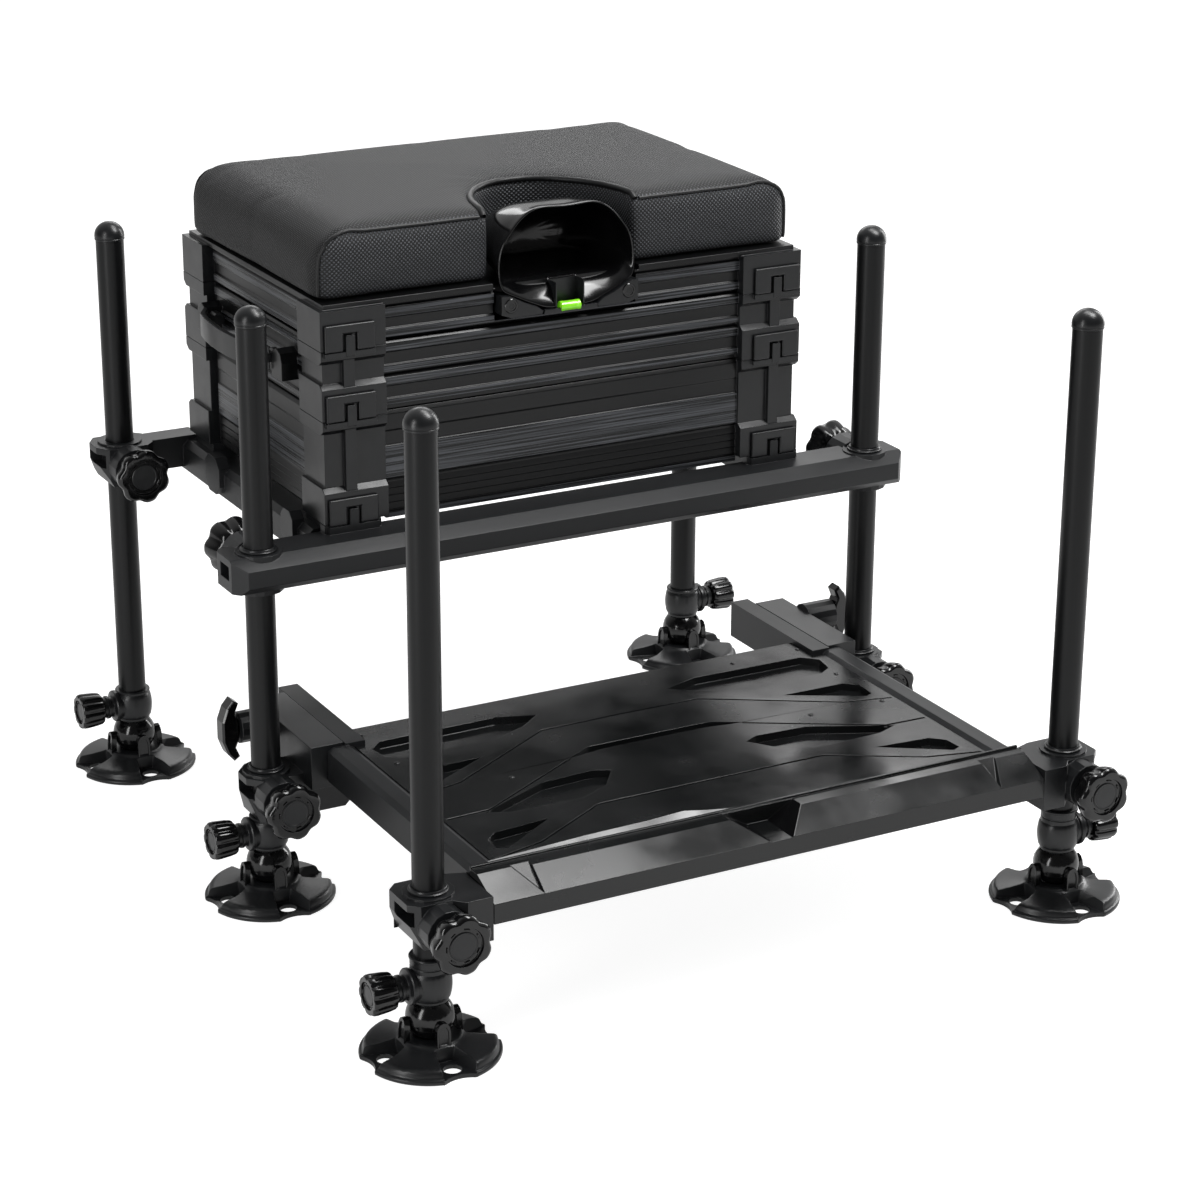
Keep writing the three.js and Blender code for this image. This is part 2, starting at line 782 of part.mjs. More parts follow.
// Front bar: hollow bar between two leg clamps, with the catches for the lowest latches
function frontBar() {
  const section = [
    [barFront, barBottom + barBevel], [barFront, barTop - barFall], [barFront + barSlope, barTop],
    [barBack - barBevel, barTop], [barBack, barTop - barBevel], [barBack, barBottom + barBevel],
    [barBack - barBevel, barBottom], [barFront + barBevel, barBottom],
  ];
  const plan = [
    [-barHalf, barFront + barCorner], [barCorner - barHalf, barFront - overrun],
    [barHalf - barCorner, barFront - overrun], [barHalf, barFront + barCorner],
    [barHalf, barBack - barCorner], [barHalf - barCorner, barBack + overrun],
    [barCorner - barHalf, barBack + overrun], [-barHalf, barBack - barCorner],
  ];
  const room = [
    [barFront + barWall, barBottom + barBevel], [barFront + barWall, barTop - barFall - barWall],
    [barFront + barSlope, barTop - barWall], [barBack - barBevel, barTop - barWall],
    [barBack - barWall, barTop - barBevel], [barBack - barWall, barBottom + barBevel],
    [barBack - barBevel, barBottom + barWall], [barFront + barBevel, barBottom + barWall],
  ];
  let bar = prismX(section, [-barHalf, barHalf])
    .intersect(prismZ(plan, [barBottom - overrun, barTop + overrun]));
  bar = cut(bar, prismX(room, [-barCastHalf, barCastHalf]),
    block([-barCastHalf, barCastHalf], [-barSlot / 2, barSlot / 2],
      [barBottom - overrun, barBottom + barWall + overrun]));
  for (const side of [-1, 1]) {
    const x = side * legX;
    const jawX = side * barHalf;
    const jawSpan = [jawX - side * jawDepth, jawX + side * overrun].sort((a, b) => a - b);
    bar = join(bar, collar(x, midLegY, [barCollarBottom, barCollarTop]),
      knobBoss(x, midLegY, upperKnobZ, 1), catchBlock(side, deepBase, barTop - weld, false));
    bar = cut(bar, legBore(x, midLegY, [barCollarBottom - overrun, barCollarTop + overrun]),
      spindleBore(x, midLegY, upperKnobZ, 1),
      block(jawSpan, [midLegY - jawWidth, midLegY + jawWidth],
        [upperKnobZ - jawHeight / 2, upperKnobZ + jawHeight / 2]));
  }
  return bar;
}

// Catch under a front latch: a ledge below it and a tab that stands in its notch. Below base
// the catch reaches down to bottom; a catch on a tray stands on the tray's own post.
function catchBlock(side, base, bottom, onTray) {
  const face = boxFront;
  const proud = boxFront - ledgeProud;
  const across = (half) => [side * latchX - half, side * latchX + half];
  const ledgeTopZ = base - latchDrop - gap;
  const tab = block(across(tabWidth / 2), [proud - weld, face - gap],
    [ledgeTopZ - ledgeHeight, base + tabRise]);
  if (onTray) {
    return join(tab, block(across(ledgeHalf - ledgeProud), [proud, face + weld],
      [ledgeTopZ - ledgeHeight, ledgeTopZ]));
  }
  const seat = block(across(ledgeHalf), [face, barBack - barBevel], [bottom, base - gap]);
  return join(tab, seat, block(across(ledgeHalf - ledgeProud), [proud - weld, face + weld],
    [bottom, ledgeTopZ]));
}

// Side rail of the frame, on the right, with its rear arm, leg clamp and clips
function sideRail() {
  const front = barBack + gap;
  const section = [
    [railInner, railBottom], [railOuter, railBottom], [railOuter, railTop - railBevel],
    [railOuter - railBevel, railTop], [railInner, railTop],
  ];
  const room = [
    [railInner + railWall, railBottom + railWall], [railOuter - railWall, railBottom + railWall],
    [railOuter - railWall, railTop - railBevel - railWall], [railOuter - railBevel, railTop - railWall],
    [railInner + railWall, railTop - railWall],
  ];
  let rail = prismY(section, [front, railEnd]);
  rail = cut(rail, prismY(room, [front - overrun, armFront - railWall]));
  const arm = block([armInner, blockInner + weld], [armFront, railEnd], [armBottom, armTop]);
  const reach = clampReach;
  const plan = [
    [blockInner, rearLegY - reach + clampBevel], [blockInner + clampBevel, rearLegY - reach],
    [legX + reach - clampBevel / 2, rearLegY - reach], [legX + reach + clampBevel / 2, rearLegY - jawWidth],
    [legX + reach + clampBevel / 2, rearLegY + jawWidth], [legX + reach - clampBevel / 2, rearLegY + reach],
    [blockInner + clampBevel, rearLegY + reach], [blockInner, rearLegY + reach - clampBevel],
  ];
  const clamp = prismZ(plan, [blockBottom, armTop]);
  rail = join(rail, arm, clamp, collar(legX, rearLegY, [blockBottom, rearCollarTop]),
    knobBoss(legX, rearLegY, upperKnobZ, -1));
  for (const clip of [rearClip, frontClip]) {
    const bevel = clip.half / 2;
    rail = join(rail, prismX([
      [clip.centre - clip.half, clip.bottom + bevel], [clip.centre - bevel, clip.bottom],
      [clip.centre + bevel, clip.bottom], [clip.centre + clip.half, clip.bottom + bevel],
      [clip.centre + clip.half, clipTop - bevel], [clip.centre + bevel, clipTop],
      [clip.centre - bevel, clipTop], [clip.centre - clip.half, clipTop - bevel],
    ], [clipInner, clipOuter]));
  }
  const seatSpan = [railInner, boxHalf - postSideRecess];
  for (const span of [[front, boxFront + postDepth], [boxRear - postDepth, armFront]]) {
    rail = join(rail, block(seatSpan, span, [railTop - weld, deepBase - gap]));
  }
  return cut(rail, legBore(legX, rearLegY, [blockBottom - overrun, rearCollarTop + overrun]),
    spindleBore(legX, rearLegY, upperKnobZ, -1),
    jaw(legX + reach + clampBevel / 2, rearLegY, armTop),
    underCut(legX + reach + clampBevel / 2, rearLegY, blockBottom),
    block([armInner - overrun, railOuter], [armFront - overrun, armFront],
      [railTop + weld, armTop + overrun]));
}

// Rear bar between the side rails, an open box section
function rearBar() {
  const half = railInner - gap;
  const spanY = [armFront, railEnd];
  const spanZ = [armBottom, armBottom + rearBarHeight];
  const inset = ([a, b]) => [a + rearBarWall, b - rearBarWall];
  return cut(block([-half, half], spanY, spanZ),
    block([-half - overrun, half + overrun], inset(spanY), inset(spanZ)));
}

// Shell of a module: ribbed panels between four corner posts
function moduleShell(base, top, height, ribShares) {
  const rings = ribShares.map(([heightShare, depthShare]) => {
    const inset = ribDepth * depthShare;
    const z = Math.min(base + height * heightShare, top);
    const x = boxHalf - sideSetBack - inset;
    const [front, rear] = [boxFront + panelSetBack + inset, boxRear - panelSetBack - inset];
    return [[-x, front, z], [x, front, z], [x, rear, z], [-x, rear, z]];
  });
  let shell = lofted(rings, 'z');
  const blockTop = Math.min(base + blockRise, top);
  const lipBottom = top - lipDrop;
  const recessed = blockTop + postSlope < lipBottom - postSlope;
  const faceTo = (depth) => (recessed ? [
    [0, base], [0, blockTop], [postRecess, blockTop + postSlope], [postRecess, lipBottom - postSlope],
    [0, lipBottom], [0, top], [depth, top], [depth, base],
  ] : [[0, base], [0, top], [depth, top], [depth, base]]);
  const frontFace = faceTo(postDepth).map(([y, z]) => [boxFront + y, z]);
  const rearFace = faceTo(postDepth).map(([y, z]) => [boxRear - y, z]);
  for (const side of [-1, 1]) {
    const span = [side * boxHalf, side * (boxHalf - postWidth)].sort((a, b) => a - b);
    shell = join(shell, prismX(frontFace, span), prismX(rearFace, span));
    const strip = [side * (boxHalf - sideSetBack - stripDepth), side * (boxHalf + overrun)]
      .sort((a, b) => a - b);
    shell = cut(shell,
      block(strip, [boxFront + postDepth, boxFront + postDepth + stripWidth],
        [base - overrun, top + overrun]),
      block(strip, [boxRear - postDepth - stripWidth, boxRear - postDepth],
        [base - overrun, top + overrun]));
    if (recessed) {
      const edge = [side * (boxHalf - postSideRecess), side * (boxHalf + overrun)]
        .sort((a, b) => a - b);
      shell = cut(shell, block(edge, [boxFront - overrun, boxRear + overrun],
        [blockTop + postSlope, lipBottom - postSlope]));
      const ribX = [side * latchX - postRibHalf, side * latchX + postRibHalf];
      shell = join(shell, block(ribX, [boxFront + weld, boxFront + postDepth],
        [blockTop - postSlope, lipBottom + postSlope]));
    }
  }
  return shell;
}

const insideX = [-(boxHalf - cornerWall), boxHalf - cornerWall];
const insideY = [boxFront + cornerWall, boxRear - cornerWall];

// Hinge pins and their cheeks on top of a module's rear posts, for the module above
function hingePins(axisZ) {
  let pins = null;
  for (const side of [-1, 1]) {
    const x = side * latchX;
    const outline = [
      [boxRear - weld, axisZ - hingeRadius - postSlope], [hingeY, axisZ - hingeRadius],
      [hingeY + hingeRadius / 2, axisZ - hingeRadius / 2],
      [hingeY + hingeRadius / 2, axisZ + hingeRadius / 2],
      [hingeY, axisZ + hingeRadius / 2], [hingeY - hingePin, axisZ],
      [boxRear - weld, axisZ - hingePin],
    ];
    const outer = hingeHalf + hingeCheek;
    const parts = [
      prismX(outline, [x - outer, x - hingeHalf - gap]),
      prismX(outline, [x + hingeHalf + gap, x + outer]),
      rodX(hingePin, [x - hingeHalf - weld, x + hingeHalf + weld], hingeY, axisZ, boltSides),
    ];
    pins = pins ? join(pins, ...parts) : join(...parts);
  }
  return pins;
}

// Hinge eyes under a module's rear posts, which turn on the pins of the module below
function hingeEyes(axisZ) {
  let eyes = null;
  for (const side of [-1, 1]) {
    const x = side * latchX;
    const span = [x - hingeHalf, x + hingeHalf];
    const eye = join(rodX(hingeRadius, span, hingeY, axisZ, tubeSides),
      prismX([
        [boxRear - weld, axisZ + hingeRadius / 2], [hingeY, axisZ + hingePin + gap + weld],
        [hingeY + hingeRadius - weld, axisZ + hingePin], [hingeY, axisZ + hingeRadius * 2],
        [boxRear - weld, axisZ + hingeRadius * 3],
      ], span));
    eyes = eyes ? join(eyes, eye) : eye;
  }
  return eyes;
}

function eyeBores(axisZ) {
  const reach = hingeHalf + overrun;
  return [-1, 1].map((side) => rodX(runningBore(hingePin), [side * latchX - reach, side * latchX + reach],
    hingeY, axisZ, boltSides));
}

function trayCatches(base) {
  const bottom = base - lipDrop;
  return [-1, 1].map((side) => catchBlock(side, base, bottom, true));
}

// Deep tray at the bottom of the stack
function deepTray() {
  const top = shallowBase - gap;
  const shell = moduleShell(deepBase, top, shallowBase - deepBase, deepRibShares);
  const hollow = block(insideX, insideY, [deepBase + floorWall, top + overrun]);
  const skirtFront = boxFront + panelSetBack;
  const skirt = block([postWidth - boxHalf, boxHalf - postWidth], [skirtFront, skirtFront + skirtWall],
    [deepBase - skirtDrop, deepBase + weld]);
  return join(cut(shell, hollow), skirt, ...trayCatches(shallowBase), hingePins(shallowBase));
}

// Handle lug with its pin, at the front (+1) or rear (-1) end of the right handle
function handleLug(end) {
  const y = end > 0 ? handleFrontY : handleRearY;
  const outline = [[y - lugRadius, handleZ - lugDrop], [y + lugRadius, handleZ - lugDrop]];
  for (let i = 0; i <= handleSteps / 2; i += 1) {
    const turn = (Math.PI * i) / (handleSteps / 2);
    outline.push([y + lugRadius * Math.cos(turn), handleZ + lugRadius * Math.sin(turn)]);
  }
  const lug = prismX(outline, [boxHalf - sideSetBack - ribDepth - weld, lugOuter]);
  const inner = y + end * lugRadius;
  const pinSpan = [inner - end * weld, inner + end * handlePinLength].sort((a, b) => a - b);
  return join(lug, rodY(handlePin, pinSpan, handleX, handleZ, boltSides));
}

// Shallow tray, with the lugs of both side handles
function shallowTray() {
  const top = seatBase - gap;
  const shell = moduleShell(shallowBase, top, seatBase - shallowBase, shallowRibShares);
  const hollow = block(insideX, insideY, [shallowBase + floorWall, top + overrun]);
  const lugs = [handleLug(1), handleLug(-1)];
  const others = lugs.map((lug) => solid(mirrored(geometryOf(lug))));
  const whole = join(cut(shell, hollow), ...lugs, ...others, ...trayCatches(seatBase),
    hingePins(seatBase), hingeEyes(shallowBase));
  return cut(whole, ...eyeBores(shallowBase));
}

// Bail handle on the right side, between the pins of its two lugs
function sideHandle() {
  const [y0, y1] = [handleFrontY + lugRadius + gap, handleRearY - lugRadius - gap];
  const bulgeAt = (share) => Math.pow(Math.sin(Math.PI * share), handleFullness);
  const outer = [];
  const inner = [];
  for (let i = 0; i <= handleSteps; i += 1) {
    const share = i / handleSteps;
    const y = y0 + (y1 - y0) * share;
    const x = handleX + (handleBulge - handleRoot) * bulgeAt(share) + handleRoot / 2;
    outer.push([x + handleThick, y]);
    inner.unshift([x, y]);
  }
  const strap = prismZ([...outer, ...inner], [handleZ - handleHeight / 2, handleZ + handleHeight / 2]);
  const trim = (from, to) => block([handleX - handleRoot * 2, handleX + handleRoot],
    [y0 - overrun, y1 + overrun], [from, to]);
  const necks = [[y0, y0 + knuckleLength], [y1 - knuckleLength, y1]].map((span) => join(
    rodY(handleKnuckle, span, handleX, handleZ, boltSides),
    block([handleX, handleX + handleRoot + handleThick], span,
      [handleZ - handleNeck / 2, handleZ + handleNeck / 2])));
  const low = trim(handleZ - handleHeight, handleZ - handleNeck / 2);
  const high = trim(handleZ + handleNeck / 2, handleZ + handleHeight);
  const bores = [[y0 - overrun, y0 + handlePinLength], [y1 - handlePinLength, y1 + overrun]]
    .map((span) => rodY(runningBore(handlePin), span, handleX, handleZ, boltSides));
  return cut(join(cut(strap, low, high), ...necks), ...bores);
}

// Latch plate with a notch from below, on the right or left post of a module
function latch(side, base) {
  const x = side * latchX;
  const bottom = base - latchDrop;
  const half = latchWidth / 2;
  const notch = latchNotch / 2;
  const outline = [
    [x - half, bottom], [x - notch, bottom], [x - notch, bottom + latchNotchRise],
    [x + notch, bottom + latchNotchRise], [x + notch, bottom], [x + half, bottom],
    [x + half, bottom + latchHeight], [x - half, bottom + latchHeight],
  ];
  return prismY(outline, [boxFront - gap - latchThick, boxFront - gap], latchBevel);
}

// Plan of the cut-out for the hood, opening to the front, grown all round by a margin
function cutOutline(margin) {
  const outline = [[cutHalf + margin, boxFront - overrun], [-cutHalf - margin, boxFront - overrun]];
  const depth = cutDepth - cushionFront + margin;
  for (let i = 0; i <= cutSteps; i += 1) {
    const turn = Math.PI * (1 - i / cutSteps);
    outline.push([(cutHalf + margin) * Math.cos(turn), cushionFront + depth * Math.sin(turn)]);
  }
  return outline;
}

// Seat frame: ribbed lid with the board that carries the cushion
function seatFrame() {
  const shell = moduleShell(seatBase, seatTop, seatTop + gap - seatBase, seatRibShares);
  const hollow = block(insideX, insideY, [seatBase - overrun, seatTop - seatBoard]);
  const lip = block([-boxHalf + lipInset, boxHalf - lipInset],
    [boxFront + lipInset, boxRear - lipInset], [seatTop - weld, seatTop + lipHeight]);
  const hoodFoot = block([-hoodHalf - overrun, hoodHalf + overrun],
    [boxFront - overrun, hoodFootBack + gap], [hoodFootBottom - overrun, seatTop + overrun]);
  const nest = prismZ(cutOutline(0), [seatTop, seatTop + lipHeight + overrun]);
  const whole = join(cut(shell, hollow), lip, hingeEyes(seatBase));
  return cut(whole, hoodFoot, nest, ...eyeBores(seatBase));
}

// Cushion: crowned form with rolled ends, drawn-in sides and a round cut-out in front
function cushion() {
  const half = cushionHalf;
  const tuck = cushionTuck;
  const ends = [[half - tuck / 2, cushionBottom], [half + weld, cushionBottom + tuck * 2]];
  for (let i = 0; i <= rollSteps; i += 1) {
    const turn = ((Math.PI / 2) * i) / rollSteps;
    ends.push([half - cushionRoll * (1 - Math.cos(turn)),
      cushionTop - cushionRoll * (1 - Math.sin(turn))]);
  }
  const section = [...ends, [0, cushionTop + cushionCrown],
    ...ends.slice().reverse().map(([x, z]) => [-x, z])];
  const middleY = (cushionFront + cushionRear) / 2;
  const side = [
    [cushionFront + tuck / 2, cushionBottom], [cushionFront, cushionBottom + tuck * 3],
    [cushionFront, cushionTop - cushionEdge * 2], [cushionFront + tuck / 2, cushionTop - cushionEdge],
    [cushionFront + cushionEdge, cushionTop], [middleY, cushionTop + cushionCrown],
    [cushionRear - cushionEdge, cushionTop], [cushionRear - tuck / 2, cushionTop - cushionEdge],
    [cushionRear, cushionTop - cushionEdge * 2], [cushionRear, cushionBottom + tuck * 3],
    [cushionRear - tuck / 2, cushionBottom],
  ];
  const plan = [];
  const round = cushionCorner;
  const corners = [
    [half - round, cushionFront + round, -1], [half - round, cushionRear - round, 0],
    [round - half, cushionRear - round, 1], [round - half, cushionFront + round, 2],
  ];
  const draws = [
    [half - cushionDraw, middleY], [0, cushionRear - cushionDraw],
    [cushionDraw - half, middleY], [0, cushionFront + cushionDraw],
  ];
  corners.forEach(([x, y, quarter], corner) => {
    for (let i = 0; i <= cornerSteps; i += 1) {
      const turn = (Math.PI / 2) * (quarter + i / cornerSteps);
      plan.push([x + (round + weld) * Math.cos(turn), y + round * Math.sin(turn)]);
    }
    plan.push(draws[corner]);
  });
  return prismY(section, [cushionFront - overrun, cushionRear + overrun])
    .intersect(prismX(side, [-half - overrun, half + overrun]))
    .intersect(prismZ(plan, [cushionBottom - overrun, cushionTop + cushionCrown + overrun]))
    .subtract(prismZ(cutOutline(0), [cushionBottom - overrun, cushionTop + cushionCrown + overrun]));
}

// One closed outline of the hood at a station, narrowed by a wall on every side
function hoodRing(index, wall, y) {
  const { widthShares, heightShares, archBlendShares } = hoodStations;
  const blend = archBlendShares[index];
  const half = hoodHalf * widthShares[index] - wall;
  const rise = hoodRise * heightShares[index] - 2 * wall;
  const right = mouthShares.map(([mouthX, mouthZ], i) => {
    const [archX, archZ] = archShares[i];
    return [half * (mouthX + (archX - mouthX) * blend), y,
      hoodFloor + wall + rise * (mouthZ + (archZ - mouthZ) * blend)];
  });
  const left = right.slice(0, -1).reverse().map(([x, , z]) => [-x, y, z]);
  return [...right, ...left].reverse();
}

// Hood: glossy scoop in the cut-out, on a foot that is screwed to the seat frame's front
function hood() {
  const { depthShares } = hoodStations;
  const outside = depthShares.map((share, i) => hoodRing(i, 0, hoodFront + hoodDepth * share));
  const inside = depthShares.map((share, i) => hoodRing(i, hoodWall,
    i === 0 ? hoodFront - overrun : hoodFront + (hoodDepth - hoodWall) * share));
  const [low, high] = [hoodFootBottom, hoodFloor + weld];
  const footSide = hoodFootShares.map(([across, up]) => [hoodHalf * across, low + (high - low) * up]);
  const foot = prismY([...footSide, ...footSide.map(([x, z]) => [-x, z]).reverse()],
    [boxFront + weld, hoodFootBack]);
  const sill = prismY([
    [-sillBottomHalf, low], [sillBottomHalf, low], [sillTopHalf, windowTop], [-sillTopHalf, windowTop],
  ], [hoodFootFront, boxFront + 2 * weld]);
  const screws = [-1, 1].map((side) => rodY(screwRadius,
    [boxFront + weld - screwProud, boxFront + overrun], side * screwX, screwZ, boltSides));
  const window = block([-windowHalf, windowHalf], [hoodFootFront - overrun, hoodFootFront + windowDepth],
    [windowBottom, windowTop]);
  const vialRoom = block([-vialHalf - gap, vialHalf + gap],
    [hoodFootFront - overrun, vialY + vialRadius + gap],
    [vialZ - vialRadius - gap, windowBottom + overrun]);
  const scoop = cut(lofted(outside, 'y'), lofted(inside, 'y'));
  return cut(join(scoop, foot, sill, ...screws), window, vialRoom);
}

// Spirit level vial, its axis along X
const vial = () => rodX(vialRadius, [-vialHalf, vialHalf], vialY, vialZ, tubeSides);

// Deck pockets on the right half: shares of the deck's half width and of its depth from the rear
const rearPocketShares = [
  [0.28, 0.15], [0.43, 0.112], [0.9, 0.118], [0.955, 0.16], [0.94, 0.228], [0.885, 0.255],
  [0.51, 0.252], [0.375, 0.208],
];
const wedgePocketShares = [
  [0.64, 0.352], [0.9, 0.355], [0.95, 0.387], [0.942, 0.457], [0.91, 0.468],
];
const middlePocketShares = [
  [0.28, 0.598], [0.34, 0.576], [0.55, 0.585], [0.845, 0.692], [0.755, 0.72], [0.487, 0.727],
  [0.36, 0.68],
];
const frontPocketShares = [
  [0.67, 0.802], [0.89, 0.817], [0.935, 0.85], [0.94, 0.907], [0.905, 0.92],
];
const centreSlotShares = [
  [-0.25, 0.424], [0.25, 0.424], [0.36, 0.47], [0.3, 0.465], [0.22, 0.455], [-0.22, 0.455],
  [-0.3, 0.465], [-0.36, 0.47],
];
// Score lines of the raised bands, right half, outwards from the middle
const rearScoreShares = [[0, 0.255], [0.33, 0.258], [0.8, 0.478], [0.985, 0.512]];
const bandScoreShares = [[0.36, 0.475], [0.82, 0.68], [0.985, 0.685]];
const frontScoreShares = [[0, 0.782], [0.46, 0.782], [0.78, 0.925], [0.985, 0.965]];

// Deck of the footplate
function deck() {
  const depth = deckFront - deckRear;
  const place = ([across, down]) => [deckHalf * across, deckRear + depth * down];
  const flip = ([x, y]) => [-x, y];
  const plan = [
    [-deckHalf, deckFront], [deckHalf, deckFront], [deckHalf, deckShoulderY],
    [deckRearHalf, deckShoulderY], [deckRearHalf, deckRear], [-deckRearHalf, deckRear],
    [-deckRearHalf, deckShoulderY], [-deckHalf, deckShoulderY],
  ];
  const pocketSpan = [deckTop - pocketDepth, deckTop + overrun];
  const tools = [prismZ(centreSlotShares.map(place), pocketSpan)];
  const pockets = [rearPocketShares, wedgePocketShares, middlePocketShares, frontPocketShares];
  for (const shares of pockets) {
    const outline = shares.map(place);
    tools.push(prismZ(outline, pocketSpan), prismZ(outline.map(flip), pocketSpan));
  }
  for (const shares of [rearScoreShares, bandScoreShares, frontScoreShares]) {
    const line = shares.map(place);
    const near = line.map(([x, y]) => [x, y - grooveWidth / 2]);
    const far = line.map(([x, y]) => [x, y + grooveWidth / 2]).reverse();
    const span = [deckTop - grooveDepth, deckTop + overrun];
    tools.push(prismZ([...near, ...far], span), prismZ([...near, ...far].map(flip), span));
  }
  return cut(prismZ(plan, [deckBottom, deckTop]), ...tools);
}

// Front rail of the footplate, with its notches
function frontRail() {
  const back = deckFront - gap;
  const section = [
    [noseFront, noseBottom], [noseFront, noseCrease], [noseTopFront, noseTop], [ledgeFront, noseTop],
    [ledgeFront, ledgeTop], [back, ledgeTop], [back, noseBottom],
  ];
  const room = [
    [noseFront + noseWall, noseBottom - overrun], [noseFront + noseWall, noseCrease - noseWall],
    [noseTopFront, noseTop - noseWall * 2], [back - noseWall, noseTop - noseWall * 2],
    [back - noseWall, noseBottom - overrun],
  ];
  const rail = cut(prismX(section, [-noseHalf, noseHalf]),
    prismX(room, [-noseHalf + noseWall, noseHalf - noseWall]));
  const high = noseTop + overrun;
  const spanY = [noseFront - overrun, ledgeFront];
  const slopeCut = (outline, foot, head) => prismY(outline, spanY).intersect(prismX([
    [noseFront - overrun, noseCrease], [noseFront + foot, noseCrease], [noseTopFront + head, noseTop],
    [noseTopFront + head, high], [noseFront - overrun, high],
  ], [-noseHalf, noseHalf]));
  const centre = slopeCut([
    [-centreNotchBottom, noseCrease], [centreNotchBottom, noseCrease], [centreNotchTop, high],
    [-centreNotchTop, high],
  ], centreNotchDepth, centreNotchDepth);
  const corners = [-1, 1].map((side) => slopeCut([
    [side * notchX, noseCrease], [side * (notchX + notchLean), high], [side * (notchX - notchBack), high],
  ], notchDepth, notchDepth));
  const ends = [-1, 1].map((side) => slopeCut([
    [side * notchX, noseCrease], [side * noseHalf, noseCrease], [side * noseHalf, high],
    [side * (notchX + notchLean), high],
  ], 0, endDepth));
  const inlays = [
    [-centreNotchTop - noseWall, centreNotchTop + noseWall],
    [notchX - notchBack - noseWall, notchX + notchLean + noseWall],
    [-notchX - notchLean - noseWall, notchBack + noseWall - notchX],
  ].map((span) => prismX([
    [noseFront + noseWall / 2, noseCrease - noseWall * 2], [back - noseWall / 2, noseCrease - noseWall * 2],
    [back - noseWall / 2, noseTop - noseWall], [noseTopFront, noseTop - noseWall],
    [noseFront + noseWall / 2, noseCrease - noseWall],
  ], span));
  return cut(join(rail, ...inlays), ...corners, ...ends, centre);
}

// Side rail of the footplate on the right, with the slide tube that runs in the lower clamp
function footplateRail() {
  const front = deckFront;
  const rail = prismY([
    [sideRailInner, sideRailBottom], [sideRailOuter, sideRailBottom], [sideRailOuter, sideRailTop],
    [sideRailOuter - sideTrimInset, sideRailTop + sideTrimRise],
    [sideRailInner + sideTrimInset, sideRailTop + sideTrimRise], [sideRailInner, sideRailTop],
  ], [front, sideRailRear]);
  const tube = block([slideInner, slideOuter], [deckShoulderY + gap, slideRear], [slideBottom, slideTop]);
  const keel = block([sideRailInner, slideOuter], [slideFront, sideRailRear + weld],
    [sideRailBottom, slideTop - sideTrimInset]);
  const room = block([slideInner + slideWall, slideOuter - slideWall - tongueDepth],
    [sideRailRear + slideWall, slideRear + overrun], [slideBottom + slideWall, slideTop - slideWall]);
  const track = block([slideOuter - tongueDepth, slideOuter + overrun],
    [sideRailRear, slideRear + overrun], [tongueBottom - gap, tongueTop + gap]);
  return cut(join(rail, tube, keel), room, track);
}

// Lower clamp on the right middle leg, with the channel that the footplate slides in
function lowerClamp() {
  const reach = clampReach;
  const plan = [
    [guideOuter - clampBevel, midLegY - bracketHalf], [legX - reach / 2, midLegY - reach],
    [legX + reach / 2, midLegY - reach], [legX + reach, midLegY - jawWidth],
    [legX + reach, midLegY + jawWidth], [legX + reach / 2, midLegY + reach],
    [legX - reach / 2, midLegY + reach], [guideOuter - clampBevel, midLegY + bracketHalf],
  ];
  const clamp = prismZ(plan, [lowerClampBottom, lowerClampTop]);
  const bracket = prismY([
    [bracketInner, lowerClampBottom + clampBevel], [bracketInner + clampBevel, lowerClampBottom],
    [guideOuter, lowerClampBottom], [guideOuter, bracketTop], [bracketInner, bracketTop],
  ], [midLegY - bracketHalf, midLegY + bracketHalf]);
  const guide = block([guideInner, guideOuter], [guideFront, guideRear], [guideBottom, guideTop]);
  const tongue = block([guideInner - tongueDepth, guideInner + weld], [guideFront, guideRear],
    [tongueBottom, tongueTop]);
  const wingBoss = rodX(wingBossRadius, [guideOuter - weld, wingBossReach], wingY, wingZ, tubeSides);
  const whole = join(clamp, bracket, guide, tongue, wingBoss,
    collar(legX, midLegY, [lowerClampBottom, lowerCollarTop]),
    knobBoss(legX, midLegY, lowerKnobZ, -1));
  return cut(whole, legBore(legX, midLegY, [lowerClampBottom - overrun, lowerCollarTop + overrun]),
    spindleBore(legX, midLegY, lowerKnobZ, -1),
    rodX(runningBore(wingShank), [wingShankRoot - gap, wingBossReach + overrun], wingY, wingZ, boltSides),
    jaw(legX + reach, midLegY, lowerClampTop), underCut(legX + reach, midLegY, lowerClampBottom));
}

// Casting at the footplate's right front corner, which clamps the front leg
function frontCasting() {
  const front = frontLegY - clampReach;
  const plan = [
    [castingInner, noseFront], [castingInner + clampReach, noseFront],
    [castingInner + clampReach + clampBevel, front], [castingOuter - clampBevel, front],
    [castingOuter, front + clampBevel], [castingOuter, frontLegY + jawWidth * 2],
    [castingOuter - clampBevel, castingRear], [castingInner + clampReach, castingRear],
    [castingInner, castingRear - clampBevel],
  ];
  const body = join(prismZ(plan, [castingBottom, castingTop]),
    collar(legX, frontLegY, [castingBottom, frontCollarTop]),
    knobBoss(legX, frontLegY, frontKnobZ, -1));
  return cut(body, legBore(legX, frontLegY, [castingBottom - overrun, frontCollarTop + overrun]),
    spindleBore(legX, frontLegY, frontKnobZ, -1),
    jaw(castingOuter, frontLegY, castingTop), underCut(castingOuter, frontLegY, castingBottom));
}

// Assembly
const seatBox = new THREE.Group();
seatBox.position.y = -(rearLegY + footRadius + frontLegY - knobStart - knobLength) / 2;

function addTo(group, name, geometry, material) {
  const mesh = new THREE.Mesh(geometry, material);
  mesh.name = name;
  group.add(mesh);
  return mesh;
}

